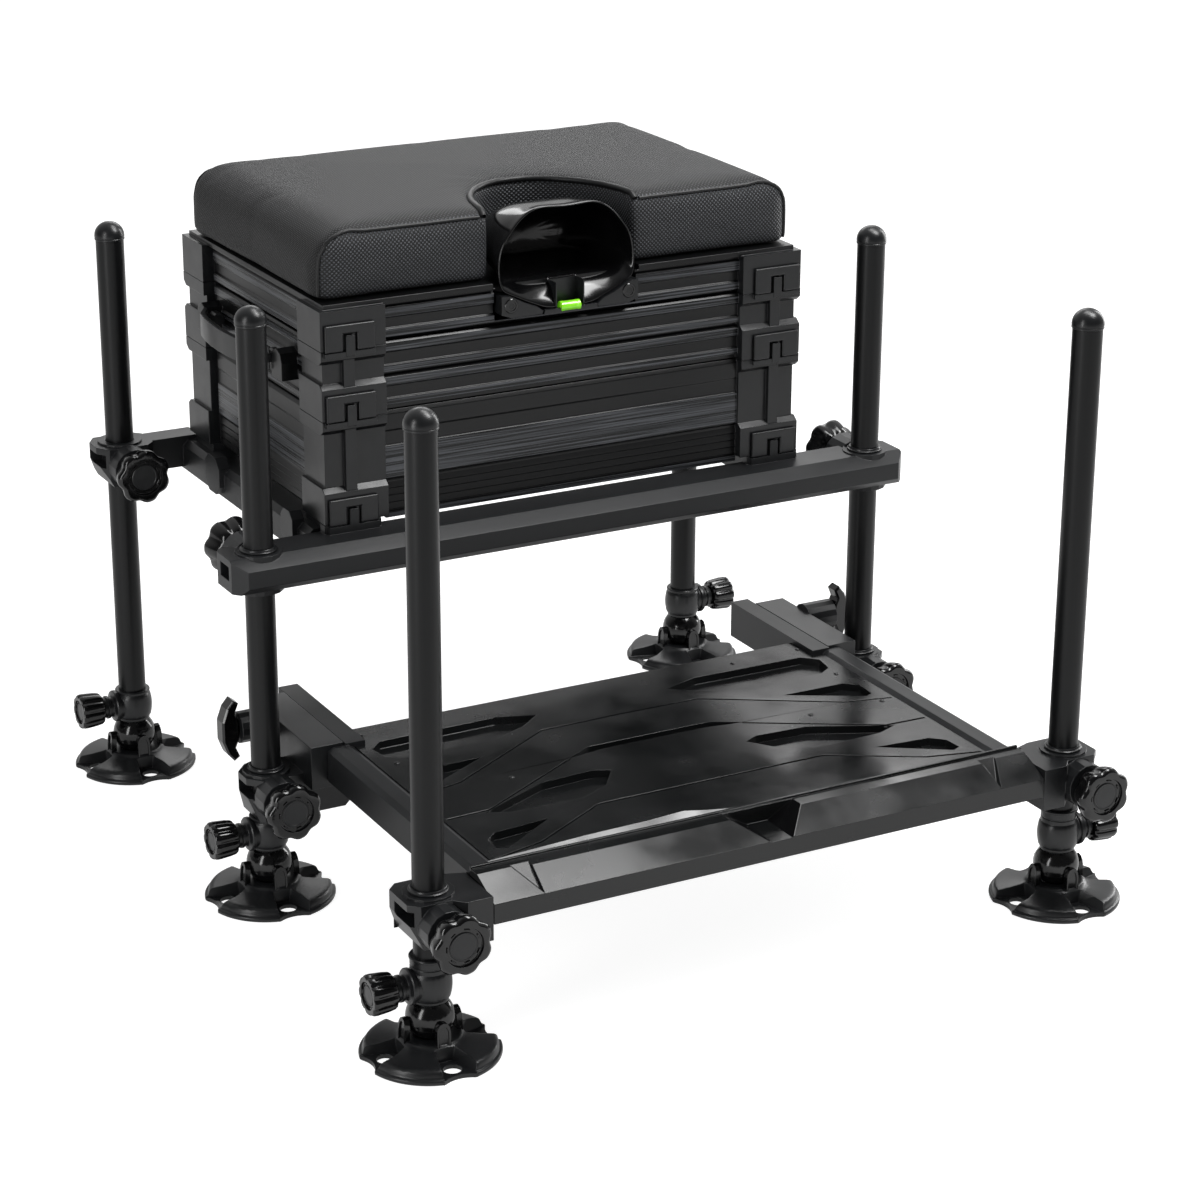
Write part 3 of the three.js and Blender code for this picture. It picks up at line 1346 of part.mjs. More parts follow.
function addPair(group, name, body, material) {
  const right = geometryOf(body);
  addTo(group, `${name}_right`, right, material);
  addTo(group, `${name}_left`, mirrored(right), material);
}

const frame = new THREE.Group();
addTo(frame, 'front_bar', geometryOf(frontBar()), satinBlack);
addTo(frame, 'rear_bar', geometryOf(rearBar()), satinBlack);
addPair(frame, 'side_rail', sideRail(), satinBlack);

const stack = new THREE.Group();
addTo(stack, 'deep_tray', geometryOf(deepTray()), panelBlack);
addTo(stack, 'shallow_tray', geometryOf(shallowTray()), panelBlack);
addTo(stack, 'seat_frame', geometryOf(seatFrame()), panelBlack);
addTo(stack, 'seat_cushion', geometryOf(cushion()), clothBlack);
addTo(stack, 'hood', geometryOf(hood()), glossBlack);
addTo(stack, 'spirit_level', geometryOf(vial()), vialGreen);
addPair(stack, 'side_handle', sideHandle(), trayBlack);
for (const [module, base] of [['seat', seatBase], ['shallow_tray', shallowBase], ['deep_tray', deepBase]]) {
  for (const [name, side] of [['left', -1], ['right', 1]]) {
    addTo(stack, `${module}_latch_${name}`, geometryOf(latch(side, base)), trayBlack);
  }
}

const footplate = new THREE.Group();
addTo(footplate, 'footplate_deck', geometryOf(deck()), satinBlack);
addTo(footplate, 'footplate_front_rail', geometryOf(frontRail()), satinBlack);
addPair(footplate, 'footplate_side_rail', footplateRail(), satinBlack);
addPair(footplate, 'front_leg_casting', frontCasting(), trayBlack);
addPair(footplate, 'lower_clamp', lowerClamp(), trayBlack);
addPair(footplate, 'wing_screw', wingScrew(), glossBlack);

const tube = geometryOf(legTube());
const knob = geometryOf(clampKnob());
const shortSleeve = geometryOf(footSleeve(sleeveTop));
const tallSleeve = geometryOf(footSleeve(frontSleeveTop));
const lock = geometryOf(lockKnob());
const foot = geometryOf(mudFoot());
const legs = new THREE.Group();
for (const [sideName, side] of [['left', -1], ['right', 1]]) {
  for (const [row, y] of [['rear', rearLegY], ['middle', midLegY], ['front', frontLegY]]) {
    const leg = new THREE.Group();
    leg.position.set(side * legX, y, 0);
    addTo(leg, `${row}_leg_${sideName}`, tube, tubeBlack);
    const lower = new THREE.Group();
    lower.rotation.z = side > 0 ? 0 : Math.PI;
    addTo(lower, `${row}_foot_sleeve_${sideName}`, row === 'front' ? tallSleeve : shortSleeve, trayBlack);
    addTo(lower, `${row}_lock_knob_${sideName}`, lock, glossBlack);
    addTo(lower, `${row}_mud_foot_${sideName}`, foot, trayBlack);
    leg.add(lower);
    legs.add(leg);
  }
  const knobs = [
    ['rear', rearLegY, upperKnobZ, -1], ['middle_upper', midLegY, upperKnobZ, 1],
    ['middle_lower', midLegY, lowerKnobZ, -1], ['front', frontLegY, frontKnobZ, -1],
  ];
  for (const [place, y, z, facing] of knobs) {
    const mesh = addTo(legs, `${place}_clamp_knob_${sideName}`, knob, glossBlack);
    mesh.position.set(side * legX, y, z);
    mesh.rotation.z = facing < 0 ? 0 : Math.PI;
  }
}

seatBox.add(frame, stack, footplate, legs);

export default seatBox;
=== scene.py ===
# %% [markdown]
# Fishing seat box, dressed for the camera. A seat box is a padded seat on two stacked tackle
# trays, carried by a frame on six telescopic legs, with a footplate in front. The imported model
# gives every piece its place and size. Here each piece gets its fine edges, rounded forms and
# finish. We work in metres, and write lengths in millimetres times MM.

# %% Load the frame
import json
import math

import bmesh
import bpy
from mathutils import Matrix, Vector
from mathutils.kdtree import KDTree

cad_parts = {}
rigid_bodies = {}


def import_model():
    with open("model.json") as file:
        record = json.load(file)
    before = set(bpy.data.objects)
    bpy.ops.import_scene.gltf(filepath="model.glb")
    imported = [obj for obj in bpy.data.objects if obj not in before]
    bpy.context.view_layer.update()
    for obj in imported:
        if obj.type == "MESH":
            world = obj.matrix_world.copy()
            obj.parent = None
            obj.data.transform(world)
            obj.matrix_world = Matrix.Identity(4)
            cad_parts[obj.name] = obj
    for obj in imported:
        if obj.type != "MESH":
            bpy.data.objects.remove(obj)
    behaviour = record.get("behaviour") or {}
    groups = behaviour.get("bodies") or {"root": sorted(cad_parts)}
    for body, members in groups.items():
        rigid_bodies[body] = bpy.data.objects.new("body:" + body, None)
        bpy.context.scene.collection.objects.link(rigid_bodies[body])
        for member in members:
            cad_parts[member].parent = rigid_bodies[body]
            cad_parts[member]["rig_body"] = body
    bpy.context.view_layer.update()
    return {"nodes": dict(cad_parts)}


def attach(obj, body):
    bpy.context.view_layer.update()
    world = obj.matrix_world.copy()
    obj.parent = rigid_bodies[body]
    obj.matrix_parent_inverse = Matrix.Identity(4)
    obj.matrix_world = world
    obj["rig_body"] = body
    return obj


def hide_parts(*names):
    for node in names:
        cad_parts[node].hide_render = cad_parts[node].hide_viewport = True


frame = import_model()
MM = 0.001

# %% [markdown]
# The camera stands in front of the box, a little to its left, and looks down on it by about
# twenty degrees. Its place, turn and focal length were worked out from edges of the object
# whose sizes are known. A long lens keeps the legs nearly parallel.

# %% Camera
CAMERA_PLACE = Vector((-1221.31, -2288.65, 1177.32)) * MM
HEADING, PITCH, ROLL = math.radians(28.553), math.radians(20.286), math.radians(0.267)
FOCAL_LENGTH, SENSOR_WIDTH = 94.66, 36  # mm


def new_object(name, data):
    made = bpy.data.objects.new(name, data)
    bpy.context.scene.collection.objects.link(made)
    return made


level = Vector((math.sin(HEADING), math.cos(HEADING), 0))
forward = level * math.cos(PITCH) - Vector((0, 0, math.sin(PITCH)))
right = Vector((math.cos(HEADING), -math.sin(HEADING), 0))
over = right.cross(forward)
sideways = right * math.cos(ROLL) + over * math.sin(ROLL)
upwards = over * math.cos(ROLL) - right * math.sin(ROLL)

lens = bpy.data.cameras.new("camera")
lens.sensor_width = SENSOR_WIDTH
lens.lens = FOCAL_LENGTH
lens.clip_start = 0.05
camera = new_object("camera", lens)
camera.matrix_world = Matrix((
    (sideways.x, upwards.x, -forward.x, CAMERA_PLACE.x),
    (sideways.y, upwards.y, -forward.y, CAMERA_PLACE.y),
    (sideways.z, upwards.z, -forward.z, CAMERA_PLACE.z),
    (0, 0, 0, 1),
))
bpy.context.scene.camera = camera
bpy.context.scene.view_settings.view_transform = "Standard"
print("camera:", round(CAMERA_PLACE.length, 2), "m from the middle of the floor")

# %% [markdown]
# Almost everything here is black plastic or black metal, so a material is a dark colour plus a
# surface that catches light. One function turns a written colour into the linear numbers that
# shaders use, and one adds a node with its settings and links.

# %% Colour and node helpers
def linear(hex_colour):
    parts = [int(hex_colour[i:i + 2], 16) / 255 for i in (1, 3, 5)]
    return [c / 12.92 if c <= 0.04045 else ((c + 0.055) / 1.055) ** 2.4 for c in parts] + [1]


def add_node(tree, kind, inputs=None, **settings):
    made = tree.nodes.new(kind)
    for name, value in settings.items():
        setattr(made, name, value)
    for name, value in (inputs or {}).items():
        if isinstance(value, bpy.types.NodeSocket):
            tree.links.new(value, made.inputs[name])
        else:
            made.inputs[name].default_value = value
    return made


def new_material(name):
    material = bpy.data.materials.new(name)
    material.use_nodes = True
    material.node_tree.nodes.clear()
    return material, material.node_tree


print("colours: #202123 is", [round(c, 4) for c in linear("#202123")[:3]])

# %% [markdown]
# Powder coat: paint sprayed as dry powder on the aluminium bars and baked. It is satin black
# with a faint orange-peel ripple of about two millimetres.

# %% Powder-coated aluminium
powder_coat, tree = new_material("powder_coated_aluminium")
place = add_node(tree, "ShaderNodeTexCoord").outputs["Object"]
peel = add_node(tree, "ShaderNodeTexNoise", {"Vector": place, "Scale": 1 / (2.0 * MM), "Detail": 2.0})
cloud = add_node(tree, "ShaderNodeTexNoise", {"Vector": place, "Scale": 1 / (45 * MM), "Detail": 3.0})
tone = add_node(tree, "ShaderNodeMix", {0: cloud.outputs["Fac"], 6: linear("#151617"), 7: linear("#1f2022")},
                data_type="RGBA")
rough = add_node(tree, "ShaderNodeMapRange", {"Value": cloud.outputs["Fac"], "To Min": 0.36, "To Max": 0.46})
ripple = add_node(tree, "ShaderNodeBump",
                  {"Height": peel.outputs["Fac"], "Distance": 0.05 * MM, "Strength": 0.5})
shader = add_node(tree, "ShaderNodeBsdfPrincipled", {
    "Base Color": tone.outputs[2], "Roughness": rough.outputs["Result"],
    "Normal": ripple.outputs["Normal"], "Metallic": 0.1, "Specular IOR Level": 0.45})
add_node(tree, "ShaderNodeOutputMaterial", {"Surface": shader.outputs["BSDF"]})
print(powder_coat.name, "has", len(tree.nodes), "nodes")

# %% [markdown]
# Anodised tube: the legs are drawn aluminium tube, dyed black in the anodising bath. Drawing
# leaves fine lines along the tube, which stretch each highlight a little. Real ones are a tenth
# of a millimetre apart, too fine to show from here, so they are drawn 1.2 mm apart.

# %% Anodised aluminium tube
anodised_tube, tree = new_material("black_anodised_tube")
place = add_node(tree, "ShaderNodeTexCoord").outputs["Object"]
along = add_node(tree, "ShaderNodeMapping", {"Vector": place, "Scale": (1, 1, 0.01)})
lines = add_node(tree, "ShaderNodeTexNoise",
                 {"Vector": along.outputs["Vector"], "Scale": 1 / (1.2 * MM), "Detail": 3.0})
tone = add_node(tree, "ShaderNodeMix", {0: lines.outputs["Fac"], 6: linear("#0c0c0d"), 7: linear("#151617")},
                data_type="RGBA")
rough = add_node(tree, "ShaderNodeMapRange", {"Value": lines.outputs["Fac"], "To Min": 0.28, "To Max": 0.4})
drawn = add_node(tree, "ShaderNodeBump",
                 {"Height": lines.outputs["Fac"], "Distance": 0.02 * MM, "Strength": 0.4})
shader = add_node(tree, "ShaderNodeBsdfPrincipled", {
    "Base Color": tone.outputs[2], "Roughness": rough.outputs["Result"],
    "Normal": drawn.outputs["Normal"], "Metallic": 0.2, "Specular IOR Level": 0.36})
add_node(tree, "ShaderNodeOutputMaterial", {"Surface": shader.outputs["BSDF"]})
print(anodised_tube.name, "has", len(tree.nodes), "nodes")

# %% [markdown]
# Glass-filled nylon: clamps, sleeves and mud feet are moulded in it. The mould is spark
# eroded, so the surface is a fine grain with a dull sheen. The real grain is a few tenths of a
# millimetre, too fine to show from here, so it is drawn 1.1 mm wide.

# %% Glass-filled nylon
nylon, tree = new_material("glass_filled_nylon")
place = add_node(tree, "ShaderNodeTexCoord").outputs["Object"]
grain = add_node(tree, "ShaderNodeTexNoise", {"Vector": place, "Scale": 1 / (1.1 * MM), "Detail": 3.0})
cloud = add_node(tree, "ShaderNodeTexNoise", {"Vector": place, "Scale": 1 / (30 * MM), "Detail": 2.0})
tone = add_node(tree, "ShaderNodeMix", {0: cloud.outputs["Fac"], 6: linear("#101112"), 7: linear("#1a1b1d")},
                data_type="RGBA")
rough = add_node(tree, "ShaderNodeMapRange", {"Value": cloud.outputs["Fac"], "To Min": 0.26, "To Max": 0.4})
pits = add_node(tree, "ShaderNodeBump",
                {"Height": grain.outputs["Fac"], "Distance": 0.06 * MM, "Strength": 0.45})
shader = add_node(tree, "ShaderNodeBsdfPrincipled", {
    "Base Color": tone.outputs[2], "Roughness": rough.outputs["Result"],
    "Normal": pits.outputs["Normal"]})
add_node(tree, "ShaderNodeOutputMaterial", {"Surface": shader.outputs["BSDF"]})
print(nylon.name, "has", len(tree.nodes), "nodes")

# %% [markdown]
# Gloss ABS: knobs and the hood come out of polished moulds, so they mirror the room in
# sharp-edged highlights. Handling leaves a faint unevenness in the gloss.

# %% Gloss ABS
gloss_abs, tree = new_material("gloss_moulded_abs")
place = add_node(tree, "ShaderNodeTexCoord").outputs["Object"]
handling = add_node(tree, "ShaderNodeTexNoise", {"Vector": place, "Scale": 1 / (18 * MM), "Detail": 4.0})
tone = add_node(tree, "ShaderNodeMix",
                {0: handling.outputs["Fac"], 6: linear("#050506"), 7: linear("#0b0b0c")}, data_type="RGBA")
rough = add_node(tree, "ShaderNodeMapRange", {"Value": handling.outputs["Fac"], "To Min": 0.1, "To Max": 0.2})
shader = add_node(tree, "ShaderNodeBsdfPrincipled", {
    "Base Color": tone.outputs[2], "Roughness": rough.outputs["Result"], "IOR": 1.54})
add_node(tree, "ShaderNodeOutputMaterial", {"Surface": shader.outputs["BSDF"]})
print(gloss_abs.name, "has", len(tree.nodes), "nodes")

# %% [markdown]
# Extruded panels: the tray walls are aluminium profiles, pushed through a die and anodised.
# The die leaves hair-fine lines along X on the front and along Y on the sides. They are drawn
# coarser than life, 1.6 mm apart, so that they show, and they are painted light grey on the
# dark dye as painted highlight: thin bright streaks that stand for the lamps' streaks along the ribs.

# %% Extruded tray panels
panel_metal, tree = new_material("extruded_tray_panel")
place = add_node(tree, "ShaderNodeTexCoord").outputs["Object"]
along = add_node(tree, "ShaderNodeMapping", {"Vector": place, "Scale": (0.012, 0.012, 1)})
die_lines = add_node(tree, "ShaderNodeTexNoise",
                     {"Vector": along.outputs["Vector"], "Scale": 1 / (1.6 * MM), "Detail": 4.0})
painted_streak = add_node(tree, "ShaderNodeMapRange", {"Value": die_lines.outputs["Fac"], "From Min": 0.42,
                                              "From Max": 0.62})
# The light grey of the lines is painted highlight, standing for lamp streaks along the ribs.
tone = add_node(tree, "ShaderNodeMix",
                {0: painted_streak.outputs["Result"], 6: linear("#101112"), 7: linear("#515357")}, data_type="RGBA")
rough = add_node(tree, "ShaderNodeMapRange", {"Value": die_lines.outputs["Fac"], "To Min": 0.22,
                                              "To Max": 0.34})
scored = add_node(tree, "ShaderNodeBump",
                  {"Height": die_lines.outputs["Fac"], "Distance": 0.08 * MM, "Strength": 0.7})
shader = add_node(tree, "ShaderNodeBsdfPrincipled", {
    "Base Color": tone.outputs[2], "Roughness": rough.outputs["Result"],
    "Normal": scored.outputs["Normal"], "Metallic": 0.35})
add_node(tree, "ShaderNodeOutputMaterial", {"Surface": shader.outputs["BSDF"]})
print(panel_metal.name, "has", len(tree.nodes), "nodes")

# %% [markdown]
# The die leaves the grooves of a profile smoother than its outer ribs, and their colour is
# painted darker as shade, so the grooves have a material of their own: painted shade, with
# softer lines 2.4 mm apart.

# %% Painted shade in the grooves of the panels
# Painted shade: the darker colour stands for the shade down in the grooves.
groove_painted_shade, tree = new_material("painted_shade_in_tray_grooves")
place = add_node(tree, "ShaderNodeTexCoord").outputs["Object"]
along = add_node(tree, "ShaderNodeMapping", {"Vector": place, "Scale": (0.01, 0.01, 1)})
die_lines = add_node(tree, "ShaderNodeTexNoise",
                     {"Vector": along.outputs["Vector"], "Scale": 1 / (2.4 * MM), "Detail": 2.0})
tone = add_node(tree, "ShaderNodeMix",
                {0: die_lines.outputs["Fac"], 6: linear("#070708"), 7: linear("#0e0f10")}, data_type="RGBA")
scored = add_node(tree, "ShaderNodeBump",
                  {"Height": die_lines.outputs["Fac"], "Distance": 0.05 * MM, "Strength": 0.4})
shader = add_node(tree, "ShaderNodeBsdfPrincipled", {
    "Base Color": tone.outputs[2], "Roughness": 0.32, "Normal": scored.outputs["Normal"],
    "Metallic": 0.2})
add_node(tree, "ShaderNodeOutputMaterial", {"Surface": shader.outputs["BSDF"]})
print(groove_painted_shade.name, "has", len(tree.nodes), "nodes")

# %% [markdown]
# Corner posts, latches and handles are moulded ABS with a light spark grain: black, satin,
# and a little scuffed where hands and boots reach them. The grain is drawn 0.9 mm wide, about
# three times as coarse as the real one.

# %% Satin ABS
satin_abs, tree = new_material("satin_moulded_abs")
place = add_node(tree, "ShaderNodeTexCoord").outputs["Object"]
grain = add_node(tree, "ShaderNodeTexNoise", {"Vector": place, "Scale": 1 / (0.9 * MM), "Detail": 2.0})
scuff = add_node(tree, "ShaderNodeTexNoise", {"Vector": place, "Scale": 1 / (14 * MM), "Detail": 5.0})
tone = add_node(tree, "ShaderNodeMix", {0: scuff.outputs["Fac"], 6: linear("#0f1011"), 7: linear("#191a1c")},
                data_type="RGBA")
rough = add_node(tree, "ShaderNodeMapRange", {"Value": scuff.outputs["Fac"], "To Min": 0.24, "To Max": 0.4})
pits = add_node(tree, "ShaderNodeBump",
                {"Height": grain.outputs["Fac"], "Distance": 0.04 * MM, "Strength": 0.35})
shader = add_node(tree, "ShaderNodeBsdfPrincipled", {
    "Base Color": tone.outputs[2], "Roughness": rough.outputs["Result"],
    "Normal": pits.outputs["Normal"]})
add_node(tree, "ShaderNodeOutputMaterial", {"Surface": shader.outputs["BSDF"]})
print(satin_abs.name, "has", len(tree.nodes), "nodes")

# %% [markdown]
# Deck plastic: the footplate's tread is moulded polypropylene, polished enough to mirror the
# room softly, with boot-rubbed patches. Its leathery grip grain is a millimetre on the real one
# and is drawn 1.6 mm wide, so that it shows.

# %% Deck polypropylene
deck_plastic, tree = new_material("moulded_deck_polypropylene")
place = add_node(tree, "ShaderNodeTexCoord").outputs["Object"]
grip = add_node(tree, "ShaderNodeTexVoronoi", {"Vector": place, "Scale": 1 / (1.6 * MM)})
rubbed = add_node(tree, "ShaderNodeTexNoise", {"Vector": place, "Scale": 1 / (60 * MM), "Detail": 4.0})
tone = add_node(tree, "ShaderNodeMix", {0: rubbed.outputs["Fac"], 6: linear("#0d0e0e"), 7: linear("#171819")},
                data_type="RGBA")
rough = add_node(tree, "ShaderNodeMapRange", {"Value": rubbed.outputs["Fac"], "From Min": 0.3,
                                              "From Max": 0.7, "To Min": 0.1, "To Max": 0.3})
leather = add_node(tree, "ShaderNodeBump",
                   {"Height": grip.outputs["Distance"], "Distance": 0.03 * MM, "Strength": 0.2})
shader = add_node(tree, "ShaderNodeBsdfPrincipled", {
    "Base Color": tone.outputs[2], "Roughness": rough.outputs["Result"],
    "Normal": leather.outputs["Normal"]})
add_node(tree, "ShaderNodeOutputMaterial", {"Surface": shader.outputs["BSDF"]})
print(deck_plastic.name, "has", len(tree.nodes), "nodes")

# %% [markdown]
# Seat cloth: woven polyester with a PVC back. The top is a fine plain weave that looks grey
# because its fuzz scatters light, and the front panel is a coarse diamond weave of two and a
# half millimetres, drawn as two sets of crossing ribs. Where the ribs cross, the cloth is raised
# and painted lighter, and between them it is painted darker: painted highlight on the threads and
# painted shade between them. The real threads of the top and the ends are half a millimetre
# apart, too fine to show from here, so they are drawn coarser. A wave node repeats every
# 2 pi / 20 of its input, and the mapping's scale turns that into millimetres.

# %% Seat cloth
def woven(name, spacing_mm, depth_mm, dark, light, rough_low, rough_high, fuzz):
    material, tree = new_material(name)
    surface = add_node(tree, "ShaderNodeUVMap", uv_map="weave").outputs["UV"]
    ribs = []
    for turn in (45, -45):
        along = add_node(tree, "ShaderNodeMapping", {
            "Vector": surface, "Rotation": (0, 0, math.radians(turn)),
            "Scale": (1 / (spacing_mm * MM * 20),) * 3})
        ribs.append(add_node(tree, "ShaderNodeTexWave",
                             {"Vector": along.outputs["Vector"], "Scale": 2 * math.pi,
                              "Distortion": 0.4, "Detail": 1.0}, bands_direction="X").outputs["Fac"])
    crossing = add_node(tree, "ShaderNodeMath", {0: ribs[0], 1: ribs[1]}, operation="MULTIPLY")
    height = crossing.outputs["Value"]
    # Raised crossings painted lighter, hollows darker: painted highlight and painted shade on the weave.
    tone = add_node(tree, "ShaderNodeMix", {0: height, 6: linear(dark), 7: linear(light)},
                    data_type="RGBA")
    rough = add_node(tree, "ShaderNodeMapRange", {"Value": height, "To Min": rough_high,
                                                  "To Max": rough_low})
    threads = add_node(tree, "ShaderNodeBump", {"Height": height, "Distance": depth_mm * MM,
                                                "Strength": 0.8})
    shader = add_node(tree, "ShaderNodeBsdfPrincipled", {
        "Base Color": tone.outputs[2], "Roughness": rough.outputs["Result"],
        "Normal": threads.outputs["Normal"], "Sheen Weight": fuzz, "Sheen Roughness": 0.45})
    add_node(tree, "ShaderNodeOutputMaterial", {"Surface": shader.outputs["BSDF"]})
    return material


top_cloth = woven("fine_woven_seat_top", 2.4, 0.35, "#070708", "#2b2c2f", 0.5, 0.7, 0.03)
front_cloth = woven("coarse_woven_seat_front", 2.6, 0.9, "#060607", "#55585d", 0.32, 0.6, 0.03)
# The ends have a ribbed weave and are painted darker than the top, as painted shade.
end_cloth_painted_shade = woven("ribbed_seat_end_painted_shade", 2.2, 0.5, "#040405", "#151618", 0.45, 0.65, 0.02)
print("cloths:", top_cloth.name, front_cloth.name, end_cloth_painted_shade.name)

# %% [markdown]
# The seams are covered with piping, a cord wrapped in a strip of the same cloth that is cut
# on the bias, so that it bends without creases. Its threads are drawn twice as coarse as life.

# %% Piping cloth
piping_cloth, tree = new_material("bias_cut_piping")
place = add_node(tree, "ShaderNodeTexCoord").outputs["Object"]
thread = add_node(tree, "ShaderNodeTexNoise", {"Vector": place, "Scale": 1 / (1.0 * MM)})
tone = add_node(tree, "ShaderNodeMix", {0: thread.outputs["Fac"], 6: linear("#08090a"), 7: linear("#141516")},
                data_type="RGBA")
threads = add_node(tree, "ShaderNodeBump",
                   {"Height": thread.outputs["Fac"], "Distance": 0.15 * MM, "Strength": 0.5})
shader = add_node(tree, "ShaderNodeBsdfPrincipled", {
    "Base Color": tone.outputs[2], "Roughness": 0.45, "Normal": threads.outputs["Normal"]})
add_node(tree, "ShaderNodeOutputMaterial", {"Surface": shader.outputs["BSDF"]})
print(piping_cloth.name, "has", len(tree.nodes), "nodes")

# %% [markdown]
# The level's vial is a clear acrylic tube of bright green fluid. Fluorescent dye makes the
# colour stronger than paint could, and a faint painted glow is added to it.

# %% Vial
vial_fluid, tree = new_material("level_vial_with_painted_glow")
place = add_node(tree, "ShaderNodeTexCoord").outputs["Object"]
swirl = add_node(tree, "ShaderNodeTexNoise", {"Vector": place, "Scale": 1 / (6 * MM)})
tone = add_node(tree, "ShaderNodeMix", {0: swirl.outputs["Fac"], 6: linear("#5cc40a"), 7: linear("#a6f03c")},
                data_type="RGBA")
shader = add_node(tree, "ShaderNodeBsdfPrincipled", {
    "Base Color": tone.outputs[2], "Roughness": 0.08, "Coat Weight": 0.6,
    # The faint emission is a painted glow.
    "Emission Color": linear("#6fe000"), "Emission Strength": 0.2})
add_node(tree, "ShaderNodeOutputMaterial", {"Surface": shader.outputs["BSDF"]})
print(vial_fluid.name, "has", len(tree.nodes), "nodes")
print("materials:", len(bpy.data.materials))

# %% [markdown]
# Most steps from here on are an operator or a modifier on one piece. An operator acts on all that
# is selected, so a helper first selects one piece alone. A modifier is added, set and applied in
# one go. Edges are bevelled by a fraction of a millimetre, because a real moulding never has a
# razor edge and the eye reads the thin bright line on it. Faces are cut into triangles before
# the bevel, because a large face with a hole can fold over itself when its corners move.

# %% Selecting, modifiers, edges and finish
def only(*objects):
    if bpy.context.mode != "OBJECT":
        bpy.ops.object.mode_set(mode="OBJECT")
    bpy.ops.object.select_all(action="DESELECT")
    for item in objects:
        item.select_set(True)
    bpy.context.view_layer.objects.active = objects[0]


def edit(piece):
    only(piece)
    bpy.ops.object.mode_set(mode="EDIT")
    bpy.ops.mesh.select_all(action="SELECT")


def modify(piece, kind, **settings):
    only(piece)
    modifier = piece.modifiers.new(kind.lower(), kind)
    for name, value in settings.items():
        setattr(modifier, name, value)
    bpy.ops.object.modifier_apply(modifier=modifier.name)


def combine(piece, tool, operation="DIFFERENCE"):
    modify(piece, "BOOLEAN", operation=operation, object=tool, solver="EXACT")
    bpy.data.objects.remove(tool)


def smooth(piece, angle=35):
    only(piece)
    bpy.ops.object.shade_smooth_by_angle(angle=math.radians(angle))


def rounded(piece, width, segments=2, limit=30, smooth_angle=35):
    modify(piece, "TRIANGULATE")
    modify(piece, "BEVEL", width=width * MM, segments=segments, limit_method="ANGLE",
           angle_limit=math.radians(limit), use_clamp_overlap=False)
    smooth(piece, smooth_angle)
    modify(piece, "WEIGHTED_NORMAL", keep_sharp=True, weight=80)


def coat(piece, material):
    piece.data.materials.clear()
    piece.data.materials.append(material)


print("helpers that select, modify, combine, smooth, round and coat")

# %% [markdown]
# New pieces start as a flat face of the right outline, which is extruded up and scaled again
# and again, the way a potter pulls up a wall. The result is closed, has clean rings of faces,
# and can be laid along any axis. A circle gives turned pieces, a lobed outline gives knobs.

# %% Pulled and turned pieces
def place_mesh(piece, location=(0, 0, 0), turn=(0, 0, 0)):
    only(piece)
    piece.location = [value * MM for value in location]
    piece.rotation_euler = [math.radians(value) for value in turn]
    bpy.ops.object.transform_apply(location=True, rotation=True, scale=True)


def mend(piece):
    edit(piece)
    bpy.ops.mesh.remove_doubles(threshold=0.01 * MM)
    bpy.ops.mesh.normals_make_consistent(inside=False)
    bpy.ops.object.mode_set(mode="OBJECT")


def pulled(name, outline, stations):
    """Outline in millimetres, and stations of (height in millimetres, scale)."""
    bpy.ops.object.select_all(action="DESELECT")
    bpy.ops.mesh.primitive_circle_add(vertices=len(outline), radius=MM, fill_type="NGON")
    piece = bpy.context.object
    piece.name = name
    height, scale = stations[0]
    for vertex, (x, y) in zip(piece.data.vertices, outline):
        vertex.co = (x * scale * MM, y * scale * MM, height * MM)
    edit(piece)
    for height_after, scale_after in stations[1:]:
        bpy.ops.mesh.extrude_region_move(
            TRANSFORM_OT_translate={"value": (0, 0, (height_after - height) * MM)})
        ratio = scale_after / scale
        bpy.ops.transform.resize(value=(ratio, ratio, 1), center_override=(0, 0, height_after * MM))
        height, scale = height_after, scale_after
    bpy.ops.object.mode_set(mode="OBJECT")
    mend(piece)
    return piece


def ring(sides):
    return [(math.cos(2 * math.pi * i / sides), math.sin(2 * math.pi * i / sides)) for i in range(sides)]


def turned(name, profile, sides=48):
    """Profile of (radius, height) pairs, in millimetres, turned about Z."""
    return pulled(name, ring(sides), [(height, radius) for radius, height in profile])


print("helpers that place, mend, pull and turn")

# %% [markdown]
# Some cutters and ribs are plain boxes. What repeats is modelled once, at the origin, and then
# copied, and each copy has a mesh of its own that is moved to its place. A second finish on one
# piece goes to the faces that pass a test on their place and direction.

# %% Boxes, joins, second finishes and copies
def slab(name, low, high):
    bpy.ops.object.select_all(action="DESELECT")
    centre = [(a + b) / 2 * MM for a, b in zip(low, high)]
    bpy.ops.mesh.primitive_cube_add(size=1, location=centre,
                                    scale=[abs(b - a) * MM for a, b in zip(low, high)])
    piece = bpy.context.object
    piece.name = name
    bpy.ops.object.transform_apply(location=True, rotation=True, scale=True)
    return piece


def joined(*pieces):
    only(*pieces)
    bpy.ops.object.join()
    return bpy.context.object


def paint(piece, material, test):
    """Gives a second material to the faces whose centre (mm) and normal pass the test."""
    piece.data.materials.append(material)
    slot = len(piece.data.materials) - 1
    passed = [face for face in piece.data.polygons if test(face.center / MM, face.normal)]
    for face in passed:
        face.material_index = slot
    return len(passed)


def copied(master, name, location, turn=(0, 0, 0)):
    piece = new_object(name, master.data.copy())
    place_mesh(piece, location, turn)
    return piece


print("helpers that make boxes, join, paint and copy")

# %% [markdown]
# The legs are plain tubes with pushed-in caps. The cap is a separate moulding: a lip that
# stands 0.8 mm proud of the tube and a full dome, which carries the round highlight at the
# top of each leg.

